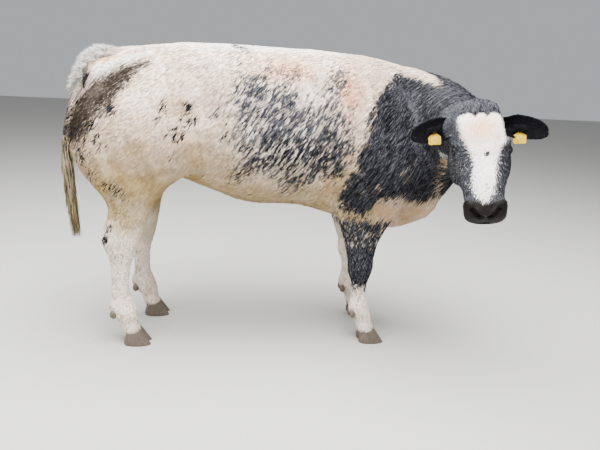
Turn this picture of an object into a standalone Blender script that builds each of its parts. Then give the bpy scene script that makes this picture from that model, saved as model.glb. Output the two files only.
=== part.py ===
"""A double-muscled roan beef heifer, standing with her head turned to her right, at life size.

Metres, +Z up. +X runs along the body towards the chest and -Y is her right side. The flesh is modelled whole, as
lofts and muscles fused together and worked over with soft strokes, then parted into named pieces by thin cuts.
"""

import math
import random

import bmesh
import bpy
import numpy as np
from mathutils import Matrix, Vector

# Driving sizes of the animal, and the middle of her box in the frame that the tables below use
ORIGIN = Vector((0.049, -0.254, 0.0))
GAP = 0.0003
SNUG = 0.0005
VOXEL = 0.0065
TRUNK_STEPS = 170
EVEN_STEPS = 10
FAR_HIND_STEP = 0.065
FAR_FORE_STEP = 0.022
CORONET = 0.068
FLESH_TRIANGLES = 6200

# Torso: x, top, bottom, half width, height of the widest place, squareness above and below
TORSO = (
    (-0.845, 1.252, 1.000, 0.078, 1.14, 2.0, 2.0),
    (-0.790, 1.306, 0.905, 0.142, 1.12, 1.9, 2.0),
    (-0.690, 1.331, 0.840, 0.200, 1.10, 1.9, 2.0),
    (-0.560, 1.340, 0.800, 0.245, 1.10, 2.1, 2.0),
    (-0.420, 1.362, 0.752, 0.272, 1.08, 2.6, 2.1),
    (-0.250, 1.365, 0.690, 0.292, 1.02, 2.7, 2.2),
    (-0.080, 1.365, 0.645, 0.306, 0.98, 2.6, 2.2),
    (0.120, 1.362, 0.640, 0.310, 0.96, 2.4, 2.2),
    (0.300, 1.350, 0.590, 0.290, 0.95, 2.1, 2.1),
    (0.460, 1.335, 0.540, 0.250, 0.95, 1.9, 2.0),
    (0.600, 1.300, 0.525, 0.215, 0.93, 1.8, 2.0),
    (0.700, 1.200, 0.550, 0.180, 0.90, 1.9, 2.0),
    (0.790, 1.060, 0.590, 0.125, 0.85, 2.0, 2.0),
    (0.840, 0.900, 0.660, 0.060, 0.76, 2.0, 2.0),
)

# Neck: crest point, throat point, half width, squareness
NECK = (
    ((0.420, 0.000, 1.320), (0.560, 0.000, 0.620), 0.170, 1.9),
    ((0.575, -0.015, 1.308), (0.745, -0.005, 0.610), 0.175, 1.9),
    ((0.668, -0.075, 1.290), (0.822, -0.075, 0.700), 0.165, 1.9),
    ((0.726, -0.180, 1.262), (0.815, -0.190, 0.815), 0.142, 2.0),
    ((0.752, -0.300, 1.235), (0.768, -0.325, 0.895), 0.122, 2.1),
    ((0.768, -0.410, 1.208), (0.735, -0.430, 0.945), 0.108, 2.2),
    ((0.775, -0.500, 1.165), (0.725, -0.510, 0.985), 0.096, 2.2),
)

# Hind leg, near side: height, rear, front, inner and outer distance from the midline, squareness
HIND_LEG = (
    (1.290, -0.600, -0.420, 0.040, 0.190, 2.0),
    (1.235, -0.680, -0.350, 0.020, 0.240, 2.1),
    (1.160, -0.765, -0.310, 0.012, 0.280, 2.2),
    (1.070, -0.846, -0.310, 0.010, 0.308, 2.2),
    (0.970, -0.892, -0.335, 0.014, 0.325, 2.2),
    (0.880, -0.880, -0.372, 0.030, 0.322, 2.2),
    (0.800, -0.848, -0.415, 0.055, 0.300, 2.2),
    (0.725, -0.790, -0.472, 0.082, 0.268, 2.2),
    (0.660, -0.740, -0.525, 0.105, 0.246, 2.2),
    (0.600, -0.736, -0.553, 0.120, 0.232, 2.2),
    (0.545, -0.754, -0.572, 0.128, 0.228, 2.2),
    (0.495, -0.760, -0.588, 0.128, 0.231, 2.3),
    (0.445, -0.744, -0.606, 0.132, 0.226, 2.3),
    (0.390, -0.729, -0.628, 0.143, 0.216, 2.3),
    (0.310, -0.722, -0.642, 0.149, 0.210, 2.3),
    (0.235, -0.721, -0.637, 0.148, 0.212, 2.3),
    (0.185, -0.729, -0.617, 0.138, 0.222, 2.3),
    (0.150, -0.718, -0.607, 0.134, 0.226, 2.3),
    (0.110, -0.688, -0.601, 0.138, 0.222, 2.3),
    (0.070, -0.672, -0.592, 0.127, 0.233, 2.3),
    (0.030, -0.664, -0.585, 0.127, 0.233, 2.3),
)

# Foreleg, near side, in the same columns
FORE_LEG = (
    (1.240, 0.360, 0.540, 0.080, 0.160, 2.0),
    (1.170, 0.300, 0.600, 0.060, 0.222, 2.1),
    (1.080, 0.250, 0.665, 0.050, 0.262, 2.2),
    (0.980, 0.215, 0.715, 0.050, 0.296, 2.2),
    (0.900, 0.205, 0.735, 0.050, 0.312, 2.2),
    (0.820, 0.212, 0.715, 0.060, 0.312, 2.2),
    (0.740, 0.240, 0.660, 0.075, 0.292, 2.2),
    (0.660, 0.275, 0.595, 0.090, 0.266, 2.2),
    (0.580, 0.306, 0.542, 0.105, 0.245, 2.2),
    (0.510, 0.332, 0.506, 0.118, 0.230, 2.2),
    (0.440, 0.352, 0.488, 0.126, 0.222, 2.2),
    (0.385, 0.364, 0.481, 0.128, 0.223, 2.4),
    (0.345, 0.369, 0.475, 0.130, 0.220, 2.4),
    (0.300, 0.384, 0.463, 0.141, 0.210, 2.3),
    (0.240, 0.389, 0.461, 0.143, 0.208, 2.3),
    (0.185, 0.384, 0.478, 0.135, 0.217, 2.3),
    (0.150, 0.392, 0.488, 0.131, 0.221, 2.3),
    (0.110, 0.412, 0.499, 0.134, 0.218, 2.3),
    (0.070, 0.426, 0.509, 0.123, 0.229, 2.3),
    (0.030, 0.434, 0.516, 0.123, 0.229, 2.3),
)

# Head: where her poll is, her heading, the slope of her face and how far the head is tipped sideways
POLL = Vector((0.772, -0.522, 1.176))
HEAD_TURN = math.radians(11.0)
FACE_SLOPE = math.radians(46.0)
HEAD_TIP = math.radians(9.0)

# Distance from the poll, half width, face line, jaw line, squareness above and below
HEAD = (
    (-0.070, 0.045, -0.060, -0.140, 2.0, 2.0),
    (-0.038, 0.076, -0.020, -0.185, 2.2, 2.0),
    (0.010, 0.094, 0.000, -0.220, 2.8, 2.4),
    (0.075, 0.104, 0.004, -0.242, 3.0, 2.7),
    (0.145, 0.111, 0.004, -0.254, 3.0, 2.8),
    (0.195, 0.109, 0.001, -0.250, 2.8, 2.8),
    (0.252, 0.101, -0.003, -0.228, 2.6, 2.6),
    (0.310, 0.090, -0.006, -0.190, 2.5, 2.4),
    (0.368, 0.079, -0.007, -0.158, 2.6, 2.2),
    (0.415, 0.074, -0.008, -0.142, 2.7, 2.3),
    (0.452, 0.078, -0.012, -0.136, 2.8, 2.5),
    (0.478, 0.078, -0.024, -0.130, 2.6, 2.5),
    (0.492, 0.066, -0.042, -0.116, 2.3, 2.3),
)

# Eyes
EYE_PLACE = (0.196, 0.0975, -0.047)
EYE_RADIUS = 0.0185
LID_RADIUS = 0.0214
LID_OPENING = (0.46, 0.38)
LID_WIDTH = 0.86

# Soft strokes on the head, on both sides: from, to, radius, depth (inwards where negative)
HEAD_STROKES = (
    ((0.150, 0.064, 0.004), (0.170, 0.098, -0.010), 0.022, 0.006),
    ((0.218, 0.086, -0.028), (0.266, 0.082, -0.045), 0.020, -0.008),
    ((0.235, 0.100, -0.085), (0.330, 0.085, -0.075), 0.014, 0.004),
    ((0.275, 0.090, -0.125), (0.350, 0.074, -0.110), 0.024, -0.008),
    ((0.100, 0.000, 0.004), (0.140, 0.000, 0.004), 0.045, 0.004),
    ((0.215, 0.000, 0.000), (0.290, 0.000, -0.004), 0.035, -0.003),
    ((0.095, 0.103, -0.060), (0.130, 0.108, -0.070), 0.024, -0.007),
    ((0.487, 0.013, -0.042), (0.478, 0.038, -0.022), 0.008, 0.0040),
    ((0.446, 0.066, -0.060), (0.466, 0.058, -0.080), 0.020, 0.004),
    ((0.486, 0.000, -0.060), (0.490, 0.000, -0.095), 0.006, -0.004),
)
NOSTRIL = ((0.487, 0.018, -0.058), (0.484, 0.034, -0.046), (0.476, 0.046, -0.036))
NOSTRIL_RADIUS = 0.0100
NOSTRIL_DEPTH = 0.024
MOUTH = ((0.494, 0.000, -0.104), (0.480, 0.045, -0.104), (0.440, 0.074, -0.100), (0.372, 0.074, -0.108))
MOUTH_RADIUS = 0.0050
MOUTH_DEPTH = 0.0070

# Ears: where they leave the head, their length, width and thickness, the depth of the cup and the droop
EAR_ROOT = (0.063, 0.094, -0.068)
EAR_AIM = {-1: (0.01, -1.0, 0.01), 1: (0.11, 1.0, 0.13)}
EAR_LENGTH = 0.172
EAR_WIDTH = 0.101
EAR_THICK = 0.0055
EAR_CUP = 0.030
EAR_DROOP = 0.026

# Ear tags: place along the ear and up it, plate size, and the tilt that clears the ear's lower rim
TAG_PLACE = {-1: (0.48, -0.06), 1: (0.38, -0.20)}
TAG_WIDTH = 0.050
TAG_HEIGHT = 0.060
TAG_THICK = 0.0022
TAG_TILT = math.radians(16.0)

# Tail: place and half width, from the croup down to the end of the flesh, and the reach of the switch
TAIL = (
    (-0.700, 0.000, 1.288, 0.026),
    (-0.765, -0.002, 1.282, 0.031),
    (-0.815, -0.006, 1.246, 0.033),
    (-0.852, -0.014, 1.176, 0.030),
    (-0.884, -0.024, 1.080, 0.026),
    (-0.910, -0.034, 0.985, 0.022),
    (-0.924, -0.042, 0.890, 0.018),
    (-0.914, -0.047, 0.775, 0.014),
    (-0.902, -0.050, 0.665, 0.009),
    (-0.893, -0.050, 0.590, 0.004),
)
NAPE_SLOPE = math.radians(14.0)
TAIL_CUTS = (1.120, 0.880)
SWITCH_TIP = 0.450
SWITCH_LOCKS = 18
POLL_LOCKS = 20

# Claws: plan of the sole from its middle, slope of the front wall and tilt of the coronet
CLAW_LENGTH = 0.122
CLAW_WIDTH = 0.051
CLEFT = 0.004
TOE_SLOPE = math.radians(54.0)
CORONET_TILT = math.radians(13.0)
FOOT_MIDDLE = {"hindleg": -0.603, "foreleg": 0.499}
FOOT_ACROSS = {"hindleg": 0.180, "foreleg": 0.176}

# Muscles that stand out, one on each side: centre, radii
MUSCLES = (
    ((-0.500, 0.175, 1.000), (0.190, 0.145, 0.260)),
    ((-0.735, 0.165, 0.985), (0.140, 0.140, 0.190)),
    ((-0.200, 0.105, 1.240), (0.340, 0.110, 0.122)),
    ((0.300, 0.200, 0.900), (0.125, 0.118, 0.200)),
    ((0.620, 0.110, 0.880), (0.125, 0.115, 0.150)),
)

# Soft strokes on the trunk, on both sides: from, to, radius, depth (inwards where negative)
TRUNK_STROKES = (
    ((-0.42, 0.000, 1.36), (0.10, 0.000, 1.37), 0.045, -0.012),
    ((-0.76, 0.070, 1.31), (-0.62, 0.095, 1.34), 0.050, -0.022),
    ((-0.60, 0.100, 1.35), (-0.50, 0.050, 1.37), 0.040, -0.006),
    ((-0.745, 0.260, 1.08), (-0.690, 0.300, 0.84), 0.036, -0.015),
    ((-0.620, 0.300, 0.92), (-0.570, 0.280, 0.76), 0.045, -0.008),
    ((-0.350, 0.260, 1.24), (-0.315, 0.285, 1.08), 0.060, -0.018),
    ((-0.370, 0.285, 0.95), (-0.345, 0.240, 0.80), 0.040, 0.012),
    ((0.150, 0.250, 1.20), (0.175, 0.300, 0.80), 0.045, -0.016),
    ((0.420, 0.190, 1.22), (0.470, 0.270, 0.98), 0.032, -0.010),
    ((0.300, 0.200, 1.27), (0.420, 0.160, 1.31), 0.050, 0.006),
    ((0.400, 0.300, 0.86), (0.440, 0.260, 0.72), 0.034, -0.012),
    ((0.245, 0.230, 0.68), (0.262, 0.215, 0.62), 0.030, 0.012),
    ((-0.77, 0.125, 1.215), (-0.56, 0.130, 1.320), 0.024, 0.008),
    ((-0.68, 0.215, 1.235), (-0.80, 0.200, 1.090), 0.032, -0.010),
    ((-0.625, 0.310, 1.060), (-0.590, 0.315, 0.985), 0.105, 0.016),
    ((-0.455, 0.310, 1.160), (-0.430, 0.310, 1.000), 0.050, -0.009),
    ((-0.62, 0.300, 0.780), (-0.46, 0.260, 0.815), 0.022, -0.006),
    ((-0.20, 0.000, 0.668), (0.00, 0.000, 0.640), 0.030, 0.012),
)

# Folds on the right of the neck, which is the inside of its bend
NECK_FOLDS = (
    ((0.489, -0.224, 1.160), (0.456, -0.310, 0.907), 0.020, -0.009),
    ((0.557, -0.215, 1.140), (0.541, -0.310, 0.865), 0.018, -0.008),
    ((0.639, -0.256, 1.104), (0.661, -0.274, 0.840), 0.018, -0.007),
    ((0.522, -0.220, 1.150), (0.500, -0.310, 0.880), 0.022, 0.006),
    ((0.600, -0.240, 1.120), (0.600, -0.300, 0.850), 0.022, 0.006),
)

# Strokes on the legs, given for the near side at its outer face, in the same columns
LEG_STROKES = (
    ((-0.745, 0.180, 0.50), (-0.752, 0.180, 0.46), 0.024, 0.006),
    ((-0.715, 0.228, 0.60), (-0.705, 0.225, 0.70), 0.020, -0.010),
    ((-0.700, 0.210, 0.38), (-0.696, 0.210, 0.22), 0.013, -0.004),
    ((-0.725, 0.180, 0.17), (-0.722, 0.180, 0.19), 0.020, 0.006),
    ((0.478, 0.180, 0.38), (0.474, 0.180, 0.34), 0.028, 0.005),
    ((0.372, 0.180, 0.38), (0.376, 0.180, 0.36), 0.020, 0.006),
    ((0.405, 0.210, 0.31), (0.402, 0.210, 0.21), 0.013, -0.004),
    ((0.386, 0.180, 0.17), (0.388, 0.180, 0.19), 0.020, 0.006),
)


def smooth_rows(rows, count):
    """Rows of sizes read at count even steps along a Catmull-Rom curve through them."""
    table = np.array(rows, float)
    along = np.linspace(0, len(table) - 1, count)
    low = np.minimum(along.astype(int), len(table) - 2)
    part = (along - low)[:, None]
    padded = np.vstack([2 * table[0] - table[1], table, 2 * table[-1] - table[-2]])
    a, b, c, d = (padded[low + k] for k in range(4))
    return 0.5 * (
        2 * b + (c - a) * part + (2 * a - 5 * b + 4 * c - d) * part**2
        + (3 * b - a - 3 * c + d) * part**3
    )


def rounded(angle, power):
    """Cosine and sine of a superellipse: power 2 is an ellipse and more is boxier."""
    cos, sin = np.cos(angle), np.sin(angle)
    return (
        np.sign(cos) * np.abs(cos) ** (2 / power),
        np.sign(sin) * np.abs(sin) ** (2 / power),
    )


def mesh_object(name, mesh):
    data = bpy.data.meshes.new(name)
    mesh.to_mesh(data)
    mesh.free()
    obj = bpy.data.objects.new(name, data)
    bpy.context.scene.collection.objects.link(obj)
    return obj


def tube(name, rings):
    """A closed mesh through rings of points, with a flat cap at both ends."""
    rings = np.asarray(rings, float)
    rows, columns = rings.shape[:2]
    mesh = bmesh.new()
    verts = [[mesh.verts.new(point) for point in ring] for ring in rings]
    for i in range(rows - 1):
        for j in range(columns):
            k = (j + 1) % columns
            mesh.faces.new((verts[i][j], verts[i][k], verts[i + 1][k], verts[i + 1][j]))
    mesh.faces.new(verts[0][::-1])
    mesh.faces.new(verts[-1])
    bmesh.ops.recalc_face_normals(mesh, faces=mesh.faces)
    bmesh.ops.triangulate(mesh, faces=mesh.faces)
    return mesh_object(name, mesh)


def ball(name, centre, radii, turn=None, segments=32):
    """An ellipsoid."""
    mesh = bmesh.new()
    bmesh.ops.create_uvsphere(mesh, u_segments=segments, v_segments=segments * 5 // 8, radius=1.0)
    spin = (turn or Matrix.Identity(3)).to_4x4()
    place = Matrix.Translation(centre) @ spin @ Matrix.Diagonal((*radii, 1.0))
    bmesh.ops.transform(mesh, matrix=place, verts=mesh.verts)
    return mesh_object(name, mesh)


def torso():
    angle = np.linspace(0, 2 * np.pi, 48, endpoint=False)
    rings = []
    for x, top, bottom, half, middle, above, below in smooth_rows(TORSO, 60):
        cos_up, sin_up = rounded(angle, above)
        cos_low, sin_low = rounded(angle, below)
        upper = np.sin(angle) >= 0
        y = half * np.where(upper, cos_up, cos_low)
        z = middle + np.where(upper, (top - middle) * sin_up, (middle - bottom) * sin_low)
        rings.append(np.stack([np.full_like(y, x), y, z], axis=1))
    return tube("torso", rings)


def neck():
    angle = np.linspace(0, 2 * np.pi, 40, endpoint=False)
    flat = [(*crest, *throat, half, power) for crest, throat, half, power in NECK]
    table = smooth_rows(flat, 32)
    crest, throat = table[:, 0:3], table[:, 3:6]
    middle = (crest + throat) / 2
    run = np.gradient(middle, axis=0)
    rings = []
    for k in range(len(table)):
        up = Vector(crest[k] - throat[k]) / 2
        across = Vector(run[k]).cross(up).normalized() * table[k, 6]
        cos, sin = rounded(angle, table[k, 7])
        rings.append(middle[k] + np.outer(cos, across) + np.outer(sin, up))
    return tube("neck", rings)


def leg_shift(z, step):
    """How far forward a far leg stands at a height: all of its step below the stifle, none at the hip."""
    return step * np.clip((0.85 - z) / 0.45, 0.0, 1.0)


def leg(rows, side, step):
    """Level rings down a leg."""
    angle = np.linspace(0, 2 * np.pi, 32, endpoint=False)
    rings = []
    for z, rear, front, inner, outer, power in smooth_rows(rows, 64):
        cos, sin = rounded(angle, power)
        x = (rear + front) / 2 + leg_shift(z, step) + (front - rear) / 2 * cos
        y = side * ((inner + outer) / 2 + (outer - inner) / 2 * sin)
        rings.append(np.stack([x, y, np.full_like(x, z)], axis=1))
    return tube("leg", rings)


def head_axes():
    """Along the face, to her left, and out of the face."""
    ahead = Vector((-math.sin(HEAD_TURN), -math.cos(HEAD_TURN), 0.0))
    up = Vector((0.0, 0.0, 1.0))
    along = ahead * math.cos(FACE_SLOPE) - up * math.sin(FACE_SLOPE)
    out = ahead * math.sin(FACE_SLOPE) + up * math.cos(FACE_SLOPE)
    left = Vector((-ahead.y, ahead.x, 0.0))
    tip = Matrix.Rotation(HEAD_TIP, 3, along)
    return along, tip @ left, tip @ out


def on_head(along, left, out):
    """A place on the head, from its distance along the face, to her left, and out of the face."""
    a, b, n = head_axes()
    return POLL + a * along + b * left + n * out


def head():
    a, b, n = (np.array(axis) for axis in head_axes())
    angle = np.linspace(0, 2 * np.pi, 48, endpoint=False)
    rings = []
    for s, half, top, bottom, above, below in smooth_rows(HEAD, 56):
        cos_up, sin_up = rounded(angle, above)
        cos_low, sin_low = rounded(angle, below)
        upper = np.sin(angle) >= 0
        middle = top + (bottom - top) * 0.42
        across = half * np.where(upper, cos_up, cos_low)
        out = middle + np.where(upper, (top - middle) * sin_up, (middle - bottom) * sin_low)
        rings.append(np.array(POLL) + s * a + np.outer(across, b) + np.outer(out, n))
    return tube("head", rings)


def head_ball(name, place, radii):
    a, b, n = head_axes()
    turn = Matrix((a, b, n)).transposed()
    return ball(name, on_head(*place), radii, turn)


def apply_modifiers(obj):
    graph = bpy.context.evaluated_depsgraph_get()
    data = bpy.data.meshes.new_from_object(obj.evaluated_get(graph))
    obj.modifiers.clear()
    old, obj.data = obj.data, data
    bpy.data.meshes.remove(old)


def fused(name, pieces, voxel):
    """Closed pieces that overlap, made one closed skin on an even grid."""
    mesh = bmesh.new()
    for piece in pieces:
        mesh.from_mesh(piece.data)
        bpy.data.objects.remove(piece)
    whole = mesh_object(name, mesh)
    grid = whole.modifiers.new("grid", "REMESH")
    grid.mode = "VOXEL"
    grid.voxel_size = voxel
    apply_modifiers(whole)
    return whole


def read_points(obj):
    data = obj.data
    points = np.empty(len(data.vertices) * 3, np.float32)
    normals = np.empty(len(data.vertices) * 3, np.float32)
    data.vertices.foreach_get("co", points)
    data.vertex_normals.foreach_get("vector", normals)
    return points.reshape(-1, 3).astype(float), normals.reshape(-1, 3).astype(float)


def write_points(obj, points):
    obj.data.vertices.foreach_set("co", points.astype(np.float32).ravel())
    obj.data.update()


def ease(value, low, high):
    """0 below low, 1 above high and a smooth step between."""
    part = np.clip((value - low) / (high - low), 0, 1)
    return part * part * (3 - 2 * part)


def soften(obj, weight, steps):
    """Laplacian smoothing with a weight for each point."""
    group = obj.vertex_groups.new(name="soft")
    levels = np.round(weight * 10).astype(int)
    for level in range(1, 11):
        group.add(np.flatnonzero(levels == level).tolist(), level / 10, "REPLACE")
    smooth = obj.modifiers.new("soften", "SMOOTH")
    smooth.vertex_group = group.name
    smooth.factor = 0.5
    smooth.iterations = steps
    apply_modifiers(obj)
    obj.vertex_groups.clear()


def head_places(points):
    """Points in the head's own measures: along the face, to her left, and out of the face."""
    frame = np.array([list(axis) for axis in head_axes()])
    return (points - np.array(POLL)) @ frame.T


def head_share(points):
    """1 on the head, falling to 0 a little way down the neck."""
    along, left, out = head_places(points).T
    beside = 1 - ease(np.abs(left), 0.15, 0.20)
    return ease(along, -0.10, -0.02) * (1 - ease(along, 0.60, 0.70)) * (1 - ease(np.abs(out + 0.1), 0.30, 0.38)) * beside


def stroke(points, normals, start, end, radius, depth):
    """Pushes the skin in or out along a line, fading over the radius."""
    start, end = np.array(start), np.array(end)
    run = end - start
    part = np.clip((points - start) @ run / max(run @ run, 1e-9), 0, 1)
    gap = np.linalg.norm(points - start - part[:, None] * run, axis=1)
    points += normals * (depth * np.exp(-((gap / radius) ** 2)))[:, None]


def refine_head(obj):
    """Halves the grid on the head, where the small forms are."""
    points, _ = read_points(obj)
    inside = head_share(points) > 0.3
    mesh = bmesh.new()
    mesh.from_mesh(obj.data)
    mesh.verts.ensure_lookup_table()
    edges = [e for e in mesh.edges if inside[e.verts[0].index] and inside[e.verts[1].index]]
    bmesh.ops.subdivide_edges(mesh, edges=edges, cuts=1, use_grid_fill=True)
    mesh.to_mesh(obj.data)
    mesh.free()


def head_vector(along, left, out):
    a, b, n = head_axes()
    return (a * along + b * left + n * out).normalized()


def line_gap(points, places):
    """Distance of each point from a bent line through places."""
    gap = np.full(len(points), 9.0)
    for start, end in zip(places, places[1:]):
        start, end = np.array(start), np.array(end)
        run = end - start
        part = np.clip((points - start) @ run / (run @ run), 0, 1)
        gap = np.minimum(gap, np.linalg.norm(points - start - part[:, None] * run, axis=1))
    return gap


def shape_lids(points, side):
    """Draws the skin over the eyeball, open in an almond between the lids."""
    eye = np.array(on_head(EYE_PLACE[0], side * EYE_PLACE[1], EYE_PLACE[2]))
    gaze = np.array(head_vector(0.12, side * 0.76, 0.62))
    level = np.array(head_vector(0.93, side * -0.10, -0.36))
    level -= gaze * (level @ gaze)
    level /= np.linalg.norm(level)
    upright = np.cross(gaze, level)
    upright *= np.sign(upright @ np.array(head_axes()[2])) or 1.0
    away = points - eye
    reach = np.linalg.norm(away, axis=1)
    unit = away / np.maximum(reach, 1e-9)[:, None]
    front, across, up = unit @ gaze, unit @ level, unit @ upright
    room = np.clip(1 - (across / LID_WIDTH) ** 2, 0, 1)
    height = np.where(up > 0, LID_OPENING[0], LID_OPENING[1]) * room
    opened = 1 - ease(np.abs(up) - height, -0.07, 0.05)
    target = LID_RADIUS - (LID_RADIUS - EYE_RADIUS + 0.004) * opened
    share = ease(front, 0.10, 0.45) * (1 - ease(reach, 0.030, 0.040))
    moved = reach + (target - reach) * share
    points += unit * (moved - reach)[:, None]


def shape_head(obj):
    """Strokes on the face, then the lids, nostrils and the line of the mouth."""
    points, normals = read_points(obj)
    for side in (-1, 1):
        for (s0, t0, n0), (s1, t1, n1), radius, depth in HEAD_STROKES:
            share = depth if t0 > 0 or side > 0 else 0.0
            start, end = on_head(s0, side * t0, n0), on_head(s1, side * t1, n1)
            stroke(points, normals, start, end, radius, share)
        nostril = [on_head(s, side * t, n) for s, t, n in NOSTRIL]
        inward = np.array(head_vector(-0.90, side * 0.06, -0.42))
        gap = line_gap(points, nostril)
        points += inward * (NOSTRIL_DEPTH * np.exp(-((gap / NOSTRIL_RADIUS) ** 2)))[:, None]
        mouth = [on_head(s, side * t, n) for s, t, n in MOUTH]
        gap = line_gap(points, mouth)
        points -= normals * (MOUTH_DEPTH * np.exp(-((gap / MOUTH_RADIUS) ** 2)))[:, None]
        shape_lids(points, side)
    write_points(obj, points)


def ear_point(side, u, v, lift):
    """A place on an ear: u from root to tip, v from the lower edge to the upper, lift out of the back."""
    root = np.array(on_head(EAR_ROOT[0], side * EAR_ROOT[1], EAR_ROOT[2]))
    aim = np.array(head_vector(*EAR_AIM[side]))
    back = np.array(head_vector(-0.45, side * 0.10, -0.89))
    back -= aim * (back @ aim)
    back /= np.linalg.norm(back)
    up = np.cross(aim, back)
    up *= np.sign(up[2])
    leaf = (0.72 + 0.28 * ease(u, 0.0, 0.32)) * (1 - 0.14 * u) * np.sqrt(np.clip(1 - u**4.6, 0.0, 1))
    half = EAR_WIDTH / 2 * leaf
    bend = v * (1.45 - 0.75 * u)
    wide = np.sin(bend) / np.sin(np.maximum(1.45 - 0.75 * u, 0.3))
    deep = EAR_CUP * (1 - 0.55 * u) * (np.cos(bend) - 0.45)
    across = half * wide
    sag = EAR_DROOP * u**2
    return (
        root + np.multiply.outer(EAR_LENGTH * u, aim) + np.multiply.outer(across, up)
        + np.multiply.outer(deep + lift, back) - np.multiply.outer(sag, np.array([0, 0, 1.0]))
    )


def ear(side, name):
    """A cupped leaf: a front and a back sheet joined all round."""
    u = np.linspace(0, 0.995, 11)[:, None] * np.ones((1, 9))
    v = np.ones((11, 1)) * np.linspace(-1, 1, 9)[None, :]
    edge = np.sqrt(np.clip(1 - np.abs(v) ** 3, 0, 1)) * np.sqrt(np.clip(1 - u**8, 0.02, 1))
    thick = EAR_THICK * (0.25 + 0.75 * edge) * (1.6 - 0.8 * u)
    front = ear_point(side, u, v, -thick / 2)
    rear = ear_point(side, u, v, thick / 2)
    mesh = bmesh.new()
    sheets = [[[mesh.verts.new(point) for point in row] for row in sheet] for sheet in (front, rear)]
    for sheet in sheets:
        for i in range(10):
            for j in range(8):
                a, b, c, d = sheet[i][j], sheet[i][j + 1], sheet[i + 1][j + 1], sheet[i + 1][j]
                mesh.faces.new((a, b, c))
                mesh.faces.new((a, c, d))
    rim = [(i, 0) for i in range(11)] + [(10, j) for j in range(1, 9)]
    rim += [(i, 8) for i in range(9, -1, -1)] + [(0, j) for j in range(7, 0, -1)]
    for (i, j), (k, m) in zip(rim, rim[1:] + rim[:1]):
        mesh.faces.new((sheets[0][i][j], sheets[0][k][m], sheets[1][k][m], sheets[1][i][j]))
    bmesh.ops.recalc_face_normals(mesh, faces=mesh.faces)
    return mesh_object(name, mesh)


def tag(side, name):
    """A plate under a neck, with the round head of its pin, set on the front of the ear."""
    u, v = (np.array([share]) for share in TAG_PLACE[side])
    pin = ear_point(side, u, v, np.array([-0.006]))[0]
    aim = head_vector(*EAR_AIM[side])
    facing = Vector(head_vector(0.45, side * -0.10, 0.89))
    facing = (facing - aim * facing.dot(aim)).normalized()
    down = aim.cross(facing).normalized()
    down = down if down.z < 0 else -down
    ahead, level = down * math.sin(TAG_TILT), facing * math.cos(TAG_TILT)
    down = down * math.cos(TAG_TILT) + facing * math.sin(TAG_TILT)
    facing = level - ahead
    half, neck_half = TAG_WIDTH / 2, 0.010
    outline = [
        (-neck_half, -0.008), (neck_half, -0.008), (neck_half, 0.010), (half - 0.004, 0.020), (half, 0.025),
        (half, TAG_HEIGHT - 0.005), (half - 0.005, TAG_HEIGHT), (-half + 0.005, TAG_HEIGHT),
        (-half, TAG_HEIGHT - 0.005), (-half, 0.025), (-half + 0.004, 0.020), (-neck_half, 0.010),
    ]
    mesh = bmesh.new()
    places = [Vector(pin) + aim * x + down * y for x, y in outline]
    low = [mesh.verts.new(place) for place in places]
    high = [mesh.verts.new(place + facing * TAG_THICK) for place in places]
    mesh.faces.new(low)
    mesh.faces.new(high[::-1])
    for k in range(len(outline)):
        m = (k + 1) % len(outline)
        mesh.faces.new((low[k], low[m], high[m], high[k]))
    bmesh.ops.recalc_face_normals(mesh, faces=mesh.faces)
    plate = mesh_object(name, mesh)
    knob = bmesh.new()
    turn = facing.to_track_quat("Z", "Y").to_matrix().to_4x4()
    place = Matrix.Translation(Vector(pin) + facing * 0.003) @ turn
    bmesh.ops.create_cone(
        knob, cap_ends=True, segments=14, radius1=0.0085, radius2=0.0065, depth=0.0065, matrix=place
    )
    joined(plate, [mesh_object("knob", knob)])
    return plate


def sweep(name, path, sides, flat=1.0):
    """A tube along a list of (x, y, z, half width), closed at both ends."""
    table = smooth_rows(path, len(path) * 2 - 1)
    run = np.gradient(table[:, :3], axis=0)
    angle = np.linspace(0, 2 * np.pi, sides, endpoint=False)
    rings = []
    for place, way, half in zip(table[:, :3], run, table[:, 3]):
        across = Vector(way).cross(Vector((1, 0, 0))).normalized()
        deep = Vector(way).cross(across).normalized()
        rings.append(place + half * (np.outer(np.cos(angle), across) + np.outer(np.sin(angle), deep) * flat))
    return tube(name, rings)


def lock(root, way, bend, length, half, thick):
    """A flat tapered lock of hair: it leaves along way and bends towards bend."""
    way, bend = Vector(way).normalized(), Vector(bend)
    rings = []
    side = way.cross(bend)
    side = side.normalized() if side.length > 1e-4 else way.orthogonal().normalized()
    for part in (0.0, 0.4, 0.75, 1.0):
        centre = Vector(root) + way * length * part + bend * length * part * part
        ahead = (way + bend * 2 * part).normalized()
        over = ahead.cross(side).normalized()
        wide = half * (1 - 0.25 * part) * (1 - part**3) + 0.0008
        deep = thick * (1 - part**2) + 0.0006
        rings.append([centre + side * wide, centre + over * deep, centre - side * wide, centre - over * deep])
    return tube("lock", rings)


def joined(base, pieces, solver="EXACT"):
    """One union of a body with the closed pieces set in it."""
    group = bpy.data.collections.new("pieces")
    for piece in pieces:
        group.objects.link(piece)
    union = base.modifiers.new("union", "BOOLEAN")
    union.operation = "UNION"
    union.solver = solver
    union.operand_type = "COLLECTION"
    union.collection = group
    apply_modifiers(base)
    for piece in pieces:
        bpy.data.objects.remove(piece)
    bpy.data.collections.remove(group)
    keep_largest(base)


def cut(body, cutter, operation, keep=False):
    trim = body.modifiers.new("trim", "BOOLEAN")
    trim.operation = operation
    trim.solver = "EXACT"
    trim.object = cutter
    apply_modifiers(body)
    if not keep:
        bpy.data.objects.remove(cutter)
    keep_largest(body)


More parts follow.
